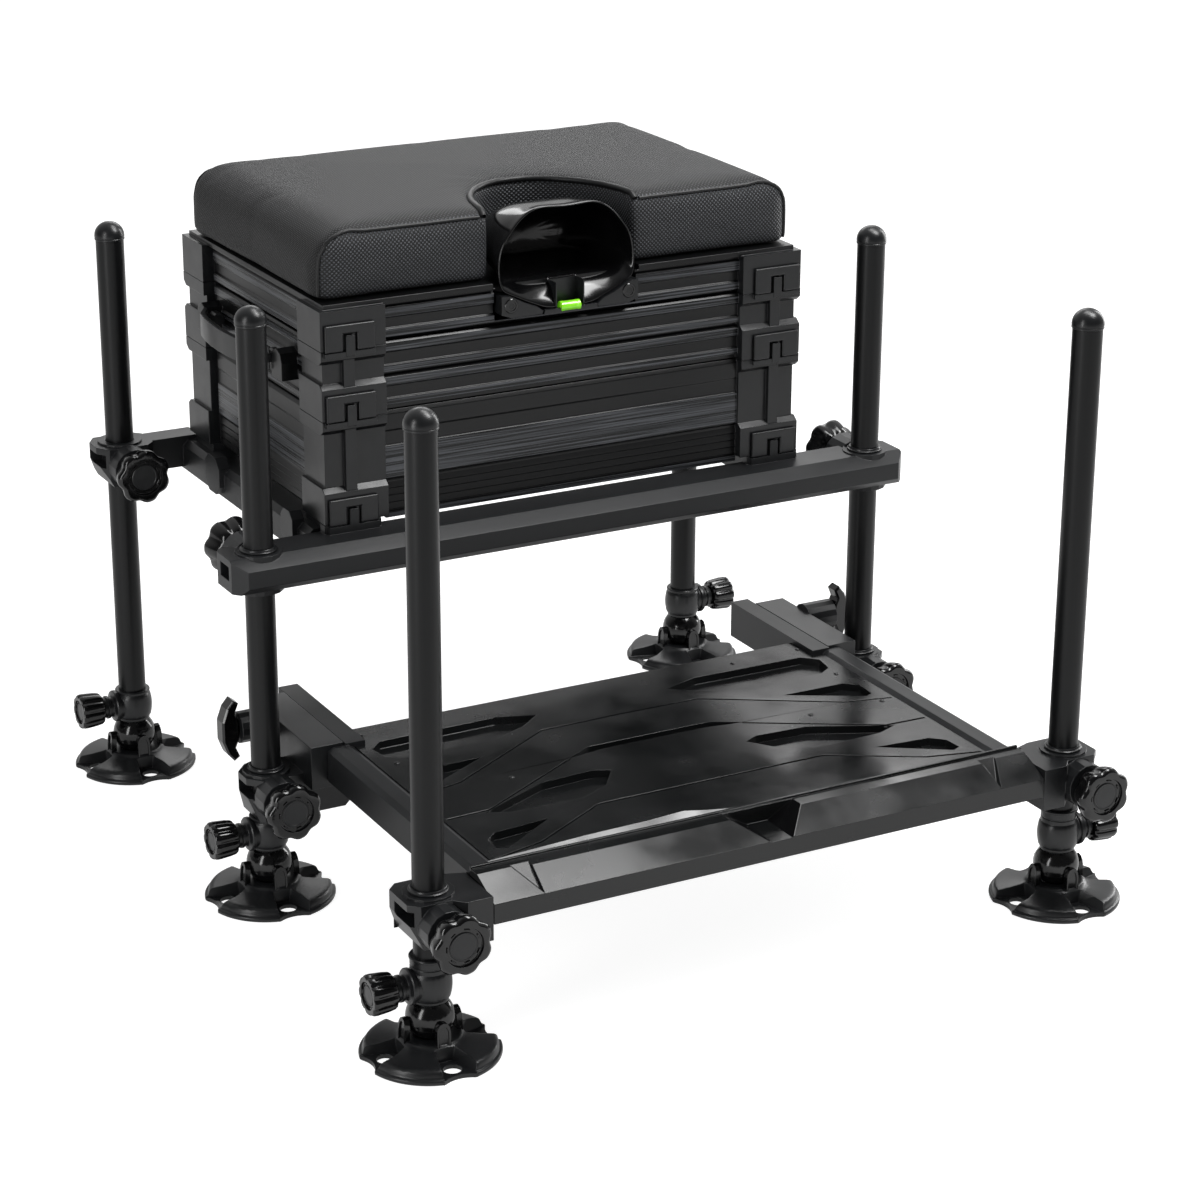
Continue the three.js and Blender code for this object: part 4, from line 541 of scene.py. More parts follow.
# %% Legs and caps
SIDES = {"left": -1, "right": 1}  # the sign of X
ROWS = {"rear": 325, "middle": 0, "front": -318}  # Y of the legs' axes
LEG_X = 296.5
LEGS = [(row, side, sign, y) for row, y in ROWS.items() for side, sign in SIDES.items()]
CAP_RADIUS, DOME_BASE, DOME_HEIGHT = 13.3, 508.5, 12.5
tube_master = turned("tube", [(12.2, 54), (12.5, 54.4), (12.5, 505)])
coat(tube_master, anodised_tube)
smooth(tube_master)
dome = [(CAP_RADIUS * math.cos(a), DOME_BASE + DOME_HEIGHT * math.sin(a))
        for a in (math.radians(d) for d in range(0, 90, 9))]
cap_master = turned("cap", [(12.4, 504.8), (12.9, 504.9), (CAP_RADIUS, 505.3), (CAP_RADIUS, 506.4),
                            (13.0, 506.8), (13.0, 507.2), (CAP_RADIUS, 507.6)]
                    + dome + [(0.4, DOME_BASE + DOME_HEIGHT)])
coat(cap_master, satin_abs)
smooth(cap_master)
for row, side, sign, y in LEGS:
    tube = copied(tube_master, f"{row}_tube_{side}", (sign * LEG_X, y, 0))
    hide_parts(f"{row}_leg_{side}")
    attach(tube, f"{row}_leg_{side}")
    cap = copied(cap_master, f"{row}_leg_cap_{side}", (sign * LEG_X, y, 0))
    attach(cap, f"{row}_leg_{side}")
for master in (tube_master, cap_master):
    bpy.data.objects.remove(master)
print("legs:", len(LEGS), "tubes with caps, in pairs", 2 * LEG_X, "mm apart")

# %% [markdown]
# Each foot sleeve clamps the bottom of a leg. It is an elbow: a slim collar on the leg, a round
# belly, an arm with a flange and a groove that carries the lock knob, and a ball below. The
# parts are turned and joined by a boolean, and their meeting line gets a small fillet.

# %% Foot sleeves
LOCK_Z = 61
BALL_RADIUS, BALL_Z, BALL_TOP = 19.5, 32, 45.9


def foot_sleeve(top):
    ball = [(BALL_RADIUS * math.cos(a), BALL_Z + BALL_RADIUS * math.sin(a))
            for a in (math.radians(d) for d in range(-88, 46, 6))]
    belly = [(17.7 - 1.3 * ((z - LOCK_Z) / 10) ** 2, z) for z in (50.6, 53, 56, 59, 61, 63, 66, 69, 71)]
    steps = [(13.2, 46.4), (14.6, 46.8), (14.9, 47.6), (14.9, 49), (15.6, 49.6)] + belly
    steps += [(15.5, 72.4), (15.3, 72.8), (15.3, top - 2.6), (16, top - 2.3), (16.1, top - 1),
              (15.4, top), (13.0, top)]
    if top > 80:  # there is room for one more groove
        steps[-5:-5] = [(15.3, 76), (14.8, 76.3), (14.8, 77.1), (15.3, 77.4)]
    body = turned("body", ball + steps)
    arm = turned("arm", [(13, 4), (13, 15.4), (14.2, 15.8), (14.7, 16.6), (14.7, 18.9), (14, 19.8),
                         (11, 20.4), (9.7, 21.4), (9.7, 24.2), (10.8, 24.7), (10.8, 27), (9.6, 27.5),
                         (9.4, 30)], 40)
    place_mesh(arm, (0, 0, LOCK_Z), (0, 90, 0))
    combine(body, arm, "UNION")
    rounded(body, 0.22, limit=46)
    coat(body, nylon)
    paint(body, gloss_abs, lambda centre, normal: centre.z < BALL_TOP and abs(centre.x) < BALL_RADIUS + 0.1)
    return body


sleeve_masters = {"short": foot_sleeve(76), "tall": foot_sleeve(85)}
for row, side, sign, y in LEGS:
    master = sleeve_masters["tall" if row == "front" else "short"]
    sleeve = copied(master, f"{row}_sleeve_{side}", (sign * LEG_X, y, 0), (0, 0, 0 if sign > 0 else 180))
    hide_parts(f"{row}_foot_sleeve_{side}")
    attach(sleeve, f"{row}_leg_{side}")
for master in sleeve_masters.values():
    bpy.data.objects.remove(master)
print("sleeves:", len(LEGS), "of", len(sleeve_masters), "heights")

# %% [markdown]
# Both kinds of knob have a gripping body with lobes and a round badge plate let into its face.
# The outline is a circle whose radius dips between the lobes. The body narrows towards the
# clamp, so the scales grow along the axis, and the well for the plate is cut last. Small ribs,
# the dots, stand in the well round the plate.

# %% Knob body and badge plate
def lobed(radius, dip, lobes, sides, sharpness):
    outline = []
    for i in range(sides):
        turn = 2 * math.pi * i / sides
        wave = (0.5 + 0.5 * math.cos(lobes * turn)) ** sharpness
        reach = radius - dip * wave
        outline.append((reach * math.cos(turn), reach * math.sin(turn)))
    return outline


def knob(outline, stations, well_radius, well_depth, face, plate_radius, dots, dot_half):
    body = pulled("knob", outline, stations)
    well = turned("well", [(well_radius, face - well_depth), (well_radius + 0.8, face + 2)], 48)
    combine(body, well)
    rounded(body, 0.3, limit=32)
    coat(body, gloss_abs)
    floor_z = face - well_depth
    plate = turned("plate", [(plate_radius, floor_z - 0.4), (plate_radius, floor_z + 0.5),
                             (plate_radius - 0.5, floor_z + 0.9), (plate_radius - 1.2, floor_z + 0.9),
                             (plate_radius - 1.5, floor_z + 0.65), (plate_radius - 2, floor_z + 0.65),
                             (0.5, floor_z + 1.0)], 48)
    smooth(plate, 25)
    coat(plate, satin_abs)
    parts = [body, plate]
    for i in range(dots):
        turn = 2 * math.pi * (i + 0.5) / dots
        reach = (plate_radius + well_radius) / 2
        dot = slab("dot", (-0.55, -dot_half, floor_z - 0.3), (0.55, dot_half, floor_z + 1.1))
        modify(dot, "BEVEL", width=0.2 * MM, segments=1)
        place_mesh(dot, (reach * math.cos(turn), reach * math.sin(turn), 0), (0, 0, math.degrees(turn)))
        coat(dot, gloss_abs)
        parts.append(dot)
    return joined(*parts)


print("knobs: helpers for the outline and for the whole knob")

# %% [markdown]
# The clamp knob has seven broad lobes and the lock knob nine narrow ones. A stepped boss joins
# the first to its clamp, and a thin shank the second to its sleeve.

# %% Clamp knob and lock knob
clamp_master = knob(
    lobed(radius=24.8, dip=2.6, lobes=7, sides=98, sharpness=1.6),
    [(41, 0.62), (42, 0.7), (44, 0.79), (47, 0.86), (52, 0.94), (57, 0.99), (59.4, 1.0), (60.8, 0.98),
     (62, 0.94), (62.8, 0.9), (63.2, 0.86)],
    well_radius=15.6, well_depth=2.4, face=63.2, plate_radius=11.8, dots=7, dot_half=2.2)
boss = turned("boss", [(5, 24.2), (5, 40), (10, 40.4), (13.5, 41.2), (13.5, 42)], 32)
coat(boss, nylon)
smooth(boss)
clamp_master = joined(clamp_master, boss)
lock_master = knob(
    lobed(radius=16.5, dip=1.7, lobes=9, sides=108, sharpness=3),
    [(31, 0.76), (31.8, 0.84), (33.4, 0.9), (38, 0.95), (48, 1.0), (50.6, 0.99), (52, 0.96), (53, 0.91)],
    well_radius=10.8, well_depth=2, face=53, plate_radius=8.2, dots=6, dot_half=1.2)
lock_shank = turned("lock_shank", [(3.9, 19.3), (3.9, 31.6)], 24)
coat(lock_shank, nylon)
lock_master = joined(lock_master, lock_shank)
print("knob faces:", len(clamp_master.data.polygons), "and", len(lock_master.data.polygons))

# %% [markdown]
# The clamp knobs point along Y, forwards or backwards, and the lock knobs point outwards along X.
# Each knob rides on its own body, because it turns.

# %% Knobs in place
CLAMPS = {  # y, z, and 1 where the knob points backwards
    "rear": (ROWS["rear"], 300, -1), "middle_upper": (ROWS["middle"], 300, 1),
    "middle_lower": (ROWS["middle"], 100, -1), "front": (ROWS["front"], 117.4, -1)}
for side, sign in SIDES.items():
    for place, (y, z, facing) in CLAMPS.items():
        made = copied(clamp_master, f"{place}_knob_{side}", (sign * LEG_X, y, z),
                      (90 if facing < 0 else -90, 0, 0))
        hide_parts(f"{place}_clamp_knob_{side}")
        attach(made, f"{place}_clamp_knob_{side}")
    for row, y in ROWS.items():
        made = copied(lock_master, f"{row}_lock_{side}", (sign * LEG_X, y, LOCK_Z), (0, 90 * sign, 0))
        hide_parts(f"{row}_lock_knob_{side}")
        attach(made, f"{row}_lock_knob_{side}")
for master in (clamp_master, lock_master):
    bpy.data.objects.remove(master)
print("knobs:", len(SIDES) * len(CLAMPS), "clamp knobs and", len(LEGS), "lock knobs")

# %% [markdown]
# A mud foot spreads the load on soft ground. Its disc has four plump petals, and in each of the
# valleys between them a finger with a raised rim stands up and snaps round the ball. A finger is
# a plate that leans inwards, with a smaller plate cut out of its outer face. Its outline is drawn
# as seen along X, and then run along X.

# %% Fingers of a mud foot
FINGER = [(-5.9, 3.4), (5.9, 3.4), (5.9, 27), (5.3, 31.4), (3.3, 34.6), (0, 35.8), (-3.3, 34.6),
          (-5.3, 31.4), (-5.9, 27)]


def along_x(name, outline, low, high):
    """Outline of (y, z) pairs, run along X from low to high."""
    piece = pulled(name, outline, [(low, 1), (high, 1)])
    place_mesh(piece, turn=(90, 0, 90))
    return piece


def moulded(piece, width, material):
    rounded(piece, width)
    coat(piece, material)
    return piece


def finger_plate(outline, inner, outer):
    plate = along_x("finger", outline, inner, outer)
    for vertex in plate.data.vertices:
        vertex.co.x -= max(0, vertex.co.z - 20 * MM) * 0.1
    return plate


def foot_finger():
    finger = finger_plate(FINGER, 20.6, 25.6)
    combine(finger, finger_plate([(y * 0.7, 6 + (z - 3.4) * 0.82) for y, z in FINGER], 24.2, 29))
    return moulded(finger, 0.35, gloss_abs)


print("finger outline:", len(FINGER), "points")

# %% [markdown]
# The disc of the foot is turned. Then the cup for the ball, the four valleys, the dips in the
# rim and the holes that let mud out are cut from it, and the four fingers are joined to it.

# %% Mud feet
VALLEYS = (0, 90, 180, 270)
CUP_RADIUS = 20.15


def bore(name, centre_x, half_x, half_y, sides, turn):
    """An upright round or oval prism, turned about Z to its valley."""
    outline = [(centre_x + half_x * x, half_y * y) for x, y in ring(sides)]
    piece = pulled(name, outline, [(-1, 1), (8, 1)])
    place_mesh(piece, turn=(0, 0, turn))
    return piece


def mud_foot():
    disc = turned("disc", [(54, 0), (55, 0.3), (55.7, 0.9), (56, 1.9), (56, 3.1), (55.6, 3.9), (54.8, 4.4),
                           (53.8, 4.6), (53.3, 5.1), (53, 6.3), (52.5, 8.4), (51.6, 9.8), (50, 10.7),
                           (47, 11.3), (40, 12.2), (31, 13.9), (27, 15.1), (25.2, 16.2), (24.6, 17),
                           (23.8, 17.6), (22.4, 17.8), (12, 17.8)], 96)
    cup = turned("cup", [(CUP_RADIUS * math.cos(a), BALL_Z + CUP_RADIUS * math.sin(a))
                         for a in (math.radians(d) for d in range(-88, 89, 8))], 40)
    combine(disc, cup)
    for turn in VALLEYS:
        valley = slab("valley", (26, -18, 3.8), (60, 18, 30))
        # a valley is narrower towards the middle of the foot, and towards its floor
        for vertex in valley.data.vertices:
            vertex.co.y *= (0.4 if vertex.co.x < 40 * MM else 1.0) * (0.86 if vertex.co.z < 10 * MM else 1.6)
        place_mesh(valley, turn=(0, 0, turn))
        combine(disc, valley)
        combine(disc, bore("dip", 73, 23.5, 23.5, 40, turn))
        combine(disc, bore("hole", 38.6, 7, 7.4, 32, turn))
    rounded(disc, 0.5, limit=46)
    coat(disc, nylon)
    parts = [disc]
    for turn in VALLEYS:
        finger = foot_finger()
        place_mesh(finger, turn=(0, 0, turn))
        parts.append(finger)
    return joined(*parts)


foot_master = mud_foot()
for row, side, sign, y in LEGS:
    made = copied(foot_master, f"{row}_foot_{side}", (sign * LEG_X, y, 0))
    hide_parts(f"{row}_mud_foot_{side}")
    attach(made, f"{row}_mud_foot_{side}")
bpy.data.objects.remove(foot_master)
print("mud feet:", len(LEGS), "of", len(made.data.polygons), "faces")

# %% [markdown]
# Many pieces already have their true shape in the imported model. They get a clean copy of their
# node: its loose triangles are merged, flat ones dissolved, and its edges rounded. The copy
# replaces the node and rides on its body. A tool can be cut out of it before its edges are made.

# %% Edged copies of frame nodes
def edged(node, material, width=0.5, segments=2, tool=None):
    source = frame["nodes"][node]
    piece = new_object(node + "_edged", source.data.copy())
    edit(piece)
    bpy.ops.mesh.remove_doubles(threshold=0.02 * MM)
    bpy.ops.mesh.dissolve_limited(angle_limit=math.radians(0.4))
    bpy.ops.object.mode_set(mode="OBJECT")
    if tool:
        combine(piece, tool)
    rounded(piece, width, segments, limit=12, smooth_angle=32)
    coat(piece, material)
    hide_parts(node)
    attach(piece, source["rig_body"])
    return piece


print("edged copies: a helper that merges, dissolves and rounds")

# %% [markdown]
# The frame, the clamps, the handles and the latches are edged copies, each in its own finish.

# %% Frame, clamps, handles and latches
for node in ("front_bar", "rear_bar", "side_rail_left", "side_rail_right",
             "footplate_side_rail_left", "footplate_side_rail_right"):
    edged(node, powder_coat)
for side in SIDES:
    for node in (f"lower_clamp_{side}", f"front_leg_casting_{side}"):
        edged(node, nylon)
    edged(f"wing_screw_{side}", gloss_abs, width=0.4)
    edged(f"side_handle_{side}", satin_abs, width=0.4)
    for module in ("seat", "shallow_tray", "deep_tray"):
        edged(f"{module}_latch_{side}", satin_abs, width=0.7, segments=3)

# %% [markdown]
# The trays and the seat frame are each one node with its panels, so one edged copy has three
# finishes. Faces on the corner posts are satin. Between the posts, those in the plane of the outer
# ribs keep the extruded metal, and the rest, down in the grooves, get the darker one, which is
# painted shade.

# %% Trays and seat frame
POST_X, POST_FRONT, POST_REAR = 171.7, 60.5, 269.5
RIB_FRONT, RIB_REAR, RIB_SIDE, RIB_DEPTH = 19.5, 310.5, 224, 0.35


def on_post(centre, normal):
    return abs(centre.x) > POST_X and not POST_FRONT < centre.y < POST_REAR


# Faces down in the grooves, which get the painted shade.
def in_shaded_groove(centre, normal):
    if on_post(centre, normal):
        return False
    from_rib = min(abs(centre.y - RIB_FRONT), abs(centre.y - RIB_REAR))
    front = from_rib < RIB_DEPTH and abs(normal.y) > 0.9
    side = abs(abs(centre.x) - RIB_SIDE) < RIB_DEPTH and abs(normal.x) > 0.9
    return not front and not side


for node in ("deep_tray", "shallow_tray", "seat_frame"):
    tray = edged(node, panel_metal)
    grooves = paint(tray, groove_painted_shade, in_shaded_groove)
    posts = paint(tray, satin_abs, on_post)
    print(node, "has", grooves, "groove faces and", posts, "post faces")

# %% [markdown]
# Where a leg runs through a clamp, a turned bushing stands a few millimetres out of it. It is
# a stepped ring with a rounded foot, and it keeps grit out of the clamp.

# %% Bushings on the clamps
BUSHINGS = {"front": (ROWS["front"], 139, "footplate"), "middle": (ROWS["middle"], 313.7, "chassis"),
            "lower": (ROWS["middle"], 118.5, "carriage")}
for row, (y, z, body) in BUSHINGS.items():
    for side, sign in SIDES.items():
        lip = turned("lip", [(14, z - 0.2), (15.4, z), (15.8, z + 0.5), (15.8, z + 1.5), (15.2, z + 2),
                             (14.6, z + 2.2), (14.4, z + 3.1), (13.9, z + 3.6), (12.8, z + 3.6)])
        combine(lip, turned("bore", [(12.65, z - 1), (12.65, z + 5)]))
        smooth(lip, 40)
        coat(lip, nylon)
        place_mesh(lip, (sign * LEG_X, y, 0))
        lip.name = f"{row}_bushing_{side}"
        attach(lip, body)
print("bushings:", 2 * len(BUSHINGS))

# %% [markdown]
# The deck and its front rail are edged copies. The notch in the middle of the rail is scooped
# out with a box that is widened at its top. The scoop has a flat floor and polished flanks, and
# the flanks get the darker gloss finish as painted shade, so it reads as a dark V from the front.

# %% Deck and front rail
DECK_TOP = 140
SCOOP_FRONT, SCOOP_BACK, SCOOP_FLOOR, SCOOP_TOP = -354, -310.5, 129.2, 147
SCOOP_HALF_LOW, SCOOP_HALF_HIGH, NOTCH_HALF = 9.6, 39.5, 44
edged("footplate_deck", deck_plastic)
scoop = slab("scoop", (-1, SCOOP_FRONT, SCOOP_FLOOR), (1, SCOOP_BACK, SCOOP_TOP))
for vertex in scoop.data.vertices:
    vertex.co.x *= SCOOP_HALF_HIGH if vertex.co.z > DECK_TOP * MM else SCOOP_HALF_LOW
nose = edged("footplate_front_rail", deck_plastic, tool=scoop)
# Painted shade: the notch's flanks get the darker gloss finish, on top of their polish.
glossy_shaded = paint(nose, gloss_abs,
                 lambda centre, normal: abs(centre.x) < NOTCH_HALF and abs(normal.x) > 0.12)
print("polished faces in the middle notch:", glossy_shaded)

# %% [markdown]
# Along the deck's front edge a low ridge stops a boot from sliding off. It is broken in the
# middle, at the notch, and it swells and fades along its length. Each row of its table is one
# cross-section, a triangle. Small domed studs mark the corners of the deck's panels.

# %% Ridges and studs of the deck
RIDGES = {  # x, then y of the front foot, crest and rear foot, then the height
    "left": [(-250, -299.4, -298, -296.6, 0.5), (-222, -303, -299, -295, 2.4), (-150, -302, -296, -290, 3.6),
             (-90, -301, -294.6, -288, 3.8), (-58, -298, -291.6, -285, 3.8), (-40, -304, -298, -289, 3.4),
             (-4, -309, -305, -298, 1.4)],
    "right": [(44, -308, -304, -300, 1.4), (60, -310, -304, -296, 3.4), (116, -310, -303.6, -296, 3.8),
              (200, -312, -306, -299, 3.4), (240, -311, -307, -302, 2), (262, -307, -305.6, -304, 0.5)],
}
for side, rows in RIDGES.items():
    ridge = pulled(f"deck_ridge_{side}", ring(3), [(row[0], 1) for row in rows])
    for vertex in ridge.data.vertices:
        x, front_y, crest_y, rear_y, height = rows[vertex.index // 3]
        y, z = ((front_y, -0.3), (crest_y, height), (rear_y, -0.3))[vertex.index % 3]
        vertex.co = Vector((x, y, DECK_TOP + z)) * MM
    mend(ridge)
    smooth(ridge, 30)
    coat(ridge, deck_plastic)
    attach(ridge, "footplate")
stud = turned("stud", [(2.4, -0.3), (2.4, 0.2), (2, 0.7), (1.2, 1), (0.3, 1.1)], 20)
coat(stud, deck_plastic)
smooth(stud, 50)
studs = [copied(stud, "deck_stud", (sign * x, y, DECK_TOP)) for sign in (-1, 1) for x, y in (
    (145, -160), (217, -22), (147, -24), (216, -89), (217, -162))]
bpy.data.objects.remove(stud)
studs = joined(*studs)
studs.name = "deck_studs"
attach(studs, "footplate")
print("deck studs:", len(studs.data.polygons), "faces")

# %% [markdown]
# The hood is a glossy scoop that the hand goes into to lift the seat. A moulded shell like this
# has no flat face, so it is drawn as seven closed hoops of equally many points, from the front to
# the back. The front hoop follows the lip: square corners low down, a dip in the middle of the top.

# %% Hood hoops
HOOD_HOOPS = [  # right half of each hoop, from the bottom middle to the top middle: x, y, z
    [(0, 10.4, 482), (13, 10.4, 482), (24, 10.8, 483), (32, 11.4, 487.2), (43, 12, 491.6), (55, 12.4, 498.2),
     (63.6, 13.4, 500.4), (64.2, 16.6, 519), (61.4, 17.2, 536), (53.8, 17.6, 546), (44.4, 17.8, 557.6),
     (34.6, 17.8, 564.6), (25, 17.8, 567.4), (13, 17.8, 566.6), (0, 17.8, 565.6)],
    [(0, 19, 494), (13, 19, 494), (23, 19, 495), (33.5, 19, 496.4), (45, 19.5, 499.6), (54.6, 20, 504.6),
     (61.6, 21, 510.4), (62.6, 23, 522), (60.2, 24, 536), (53.4, 24, 546.2), (44.6, 24, 556.8),
     (35, 24, 563), (25, 24, 565.4), (13, 24, 564.8), (0, 24, 564)],
    [(0, 29, 502.6), (13, 29, 502.6), (23, 29, 502.6), (34, 29.4, 503), (45, 30, 505), (54, 31, 509.6),
     (59.4, 32, 517), (60.4, 33, 527), (59.4, 34, 539), (55.4, 34, 548.4), (47.4, 34, 556.4),
     (36.6, 34, 561), (25, 34, 562.8), (13, 34, 562.8), (0, 34, 562.4)],
    [(0, 46, 504), (13, 46, 504), (23, 46, 504), (34, 46, 504.6), (45, 46, 507), (53, 47, 511.6),
     (57.4, 48, 518.6), (58.6, 49, 528), (57.8, 50, 540), (54, 50, 549.6), (46.8, 50, 556.6),
     (36.6, 50, 560.6), (25, 50, 562), (13, 50, 562.2), (0, 50, 562)],
    [(0, 70, 505), (12, 70, 505), (22, 70, 505), (32, 70, 506), (41, 70, 508.6), (47.6, 70, 513),
     (51.6, 71, 519.6), (53, 72, 528.6), (52.4, 72, 539.6), (49, 72, 548.6), (42.4, 72, 554.6),
     (33.4, 72, 557.8), (23, 72, 559), (12, 72, 559.4), (0, 72, 559.4)],
    [(0, 92, 506), (10, 92, 506), (18, 92, 506.4), (26, 92, 507.4), (32.6, 92, 510), (37, 92, 514),
     (39.8, 92, 520), (40.8, 92, 527), (40, 92, 535), (37, 92, 541.6), (32, 92, 546), (25.4, 92, 548.4),
     (17.6, 92, 549.6), (9, 92, 550), (0, 92, 550)],
    [(0, 103, 509), (6, 103, 509), (11, 103, 509.4), (16, 103, 510.4), (20, 103, 512.6), (22.6, 103, 515.6),
     (24, 103, 520), (24.4, 103, 525), (23.6, 103, 530), (21.6, 103, 534), (18.6, 103, 536.6),
     (14.6, 103, 538), (10, 103, 538.8), (5, 103, 539), (0, 103, 539)],
]
print("hood:", len(HOOD_HOOPS), "hoops")

# %% [markdown]
# The hoops are joined into one mesh, the last one filled. An edge whose two ends have the same
# hoop number belongs to that hoop, so two neighbours can be selected and bridged with faces. The
# skin is then thickened outwards and smoothed by subdivision.

# %% Hood shell
def hood_shell():
    hoops = []
    for half in HOOD_HOOPS:
        points = half + [(-x, y, z) for x, y, z in half[-2:0:-1]]
        bpy.ops.object.select_all(action="DESELECT")
        last = half is HOOD_HOOPS[-1]
        bpy.ops.mesh.primitive_circle_add(vertices=len(points), fill_type="NGON" if last else "NOTHING")
        hoop = bpy.context.object
        for vertex, point in zip(hoop.data.vertices, points):
            vertex.co = Vector(point) * MM
        hoops.append(hoop)
    shell = joined(*hoops)
    shell.name = "hood_shell"
    bpy.ops.object.mode_set(mode="EDIT")
    bpy.ops.mesh.select_mode(type="EDGE")
    mesh = bmesh.from_edit_mesh(shell.data)
    count = len(HOOD_HOOPS[0]) * 2 - 2
    for lower in range(len(HOOD_HOOPS) - 1):
        mesh.verts.ensure_lookup_table()
        for edge in mesh.edges:
            ends = {vertex.index // count for vertex in edge.verts}
            edge.select_set(ends <= {lower, lower + 1} and len(ends) == 1)
        bmesh.update_edit_mesh(shell.data)
        bpy.ops.mesh.bridge_edge_loops()
        mesh = bmesh.from_edit_mesh(shell.data)
    bpy.ops.mesh.select_all(action="SELECT")
    bpy.ops.mesh.normals_make_consistent(inside=False)
    bpy.ops.object.mode_set(mode="OBJECT")
    return shell


shell = hood_shell()
modify(shell, "SOLIDIFY", thickness=2.4 * MM, offset=1, use_even_offset=True)
modify(shell, "SUBSURF", levels=2, render_levels=2)
print("hood shell:", len(shell.data.polygons), "faces")

# %% [markdown]
# Below the scoop is the window for the level. It is cut through the lip with a prism whose
# outline is drawn from the side.

# %% Hood window
opening = along_x("opening", [(5, 479.5), (32, 479.5), (32, 503.4), (27.5, 503.4), (5, 496)],
                  -13.2, 13.2)
combine(shell, opening)
smooth(shell, 50)
coat(shell, gloss_abs)
print("hood shell with its window:", len(shell.data.polygons), "faces")

# %% [markdown]
# A satin pocket behind the window holds the level. A thin frame follows the slope of the lip
# round the window, with a sill below, and a bracket with a screw holds each end. The screws are
# turned, and the rest are outlines, drawn from the side or from the front and run along X or Y.

# %% Pocket, window frame and brackets
def along_y(name, outline, low, high):
    """Outline of (x, z) pairs, run along Y from low to high."""
    piece = pulled(name, outline, [(-high, 1), (-low, 1)])
    place_mesh(piece, turn=(90, 0, 0))
    return piece


pocket = moulded(along_y("pocket", [(-13.8, 477.4), (13.8, 477.4), (13.8, 503), (12.6, 503),
                                    (12.6, 478.6), (-12.6, 478.6), (-12.6, 503), (-13.8, 503)],
                         11.2, 27), 0.2, satin_abs)
pocket_back = moulded(along_y("pocket_back", [(-13, 478), (13, 478), (13, 502.6), (-13, 502.6)],
                              25.4, 26.6), 0.2, satin_abs)
frame_bars = []
for sign in SIDES.values():
    upright = along_x("frame_side", [(9.3, 479), (10.9, 479), (20.4, 495.2), (29, 502.4), (29, 504),
                                     (27.6, 504.2), (18.6, 496.8)], sign * 13.4 - 0.8, sign * 13.4 + 0.8)
    frame_bars.append(moulded(upright, 0.35, gloss_abs))
head = along_x("frame_top", [(27, 502), (29.2, 502), (29.2, 504), (27.4, 504.2)], -14, 14)
frame_bars.append(moulded(head, 0.35, gloss_abs))
sill = moulded(along_y("sill", [(-26, 477.2), (26, 477.2), (25, 481.4), (14, 481), (-14, 481),
                                (-25, 481.4)], 9.2, 13), 0.35, satin_abs)
brackets = []
for sign in SIDES.values():
    bracket = along_y("bracket", [(sign * x, z) for x, z in (
        (65.6, 497.6), (57, 496.8), (43, 489.6), (31.5, 485), (25.6, 480.6), (27, 477.8), (56, 477.6),
        (65.6, 481))], 10.2, 26.4)
    screw = turned("screw_boss", [(6.4, -1), (6.4, 0.5), (5.8, 1.1), (4.3, 1.1), (4.1, 0.4), (2.6, 0.4),
                                  (2.5, -0.6), (0.2, -0.6)], 24)
    smooth(screw)
    place_mesh(screw, (sign * 56.5, 10.4, 488.4), (90, 0, 0))
    coat(screw, gloss_abs)
    brackets += [moulded(bracket, 0.6, satin_abs), screw]
hood = joined(shell, pocket, pocket_back, sill, *frame_bars, *brackets)
hood.name = "hood_scoop"
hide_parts("hood")
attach(hood, "seat")
print("hood:", len(hood.data.polygons), "faces")

# %% [markdown]
# The level is a small vial that lies across the box, with a stepped end cap on either side.

# %% Spirit level
vial = turned("level_vial", [(4.2, -9.4), (4.7, -9), (4.7, -6.4), (4.5, -6.2), (4.5, 6.2), (4.7, 6.4),
                             (4.7, 9), (4.2, 9.4)], 32)
place_mesh(vial, (0, 12.6, 481.6), (0, 90, 0))
smooth(vial)
coat(vial, vial_fluid)
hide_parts("spirit_level")
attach(vial, "seat")
print("level:", len(vial.data.polygons), "faces")

# %% [markdown]
# The cushion is a block of foam in a sewn cover. The cover is cut smaller than the foam, so
# it is under tension: the faces crown and the seams pull in. Its frame solid is remeshed
# into even squares and blown up a little by cloth pressure, as foam pushes out. Each point may
# move 2.2 mm at most, so that the cushion keeps clear of the hood.

# %% Cushion body
PUFF_FRAMES = 20


def puffed(node, voxel_mm, cap_mm):
    piece = new_object("seat_pad", frame["nodes"][node].data.copy())
    edit(piece)
    bpy.ops.mesh.remove_doubles(threshold=0.02 * MM)
    bpy.ops.object.mode_set(mode="OBJECT")
    modify(piece, "REMESH", mode="VOXEL", voxel_size=voxel_mm * MM)
    modify(piece, "SMOOTH", factor=0.5, iterations=4)
    start = [vertex.co.copy() for vertex in piece.data.vertices]
    cloth = piece.modifiers.new("cloth", "CLOTH")
    cloth.settings.use_pressure = True
    cloth.settings.uniform_pressure_force = 4
    cloth.settings.quality = 5
    cloth.settings.effector_weights.gravity = 0
    cloth.collision_settings.use_self_collision = False
    scene = bpy.context.scene
    for number in range(1, PUFF_FRAMES + 1):
        scene.frame_set(number)
    only(piece)
    bpy.ops.object.modifier_apply(modifier=cloth.name)
    scene.frame_set(1)
    for vertex, before in zip(piece.data.vertices, start):
        step = vertex.co - before
        if step.length > cap_mm * MM:
            vertex.co = before + step.normalized() * cap_mm * MM
    return piece


pad = puffed("seat_cushion", voxel_mm=4.6, cap_mm=2.2)
print("cushion:", len(pad.data.vertices), "points")
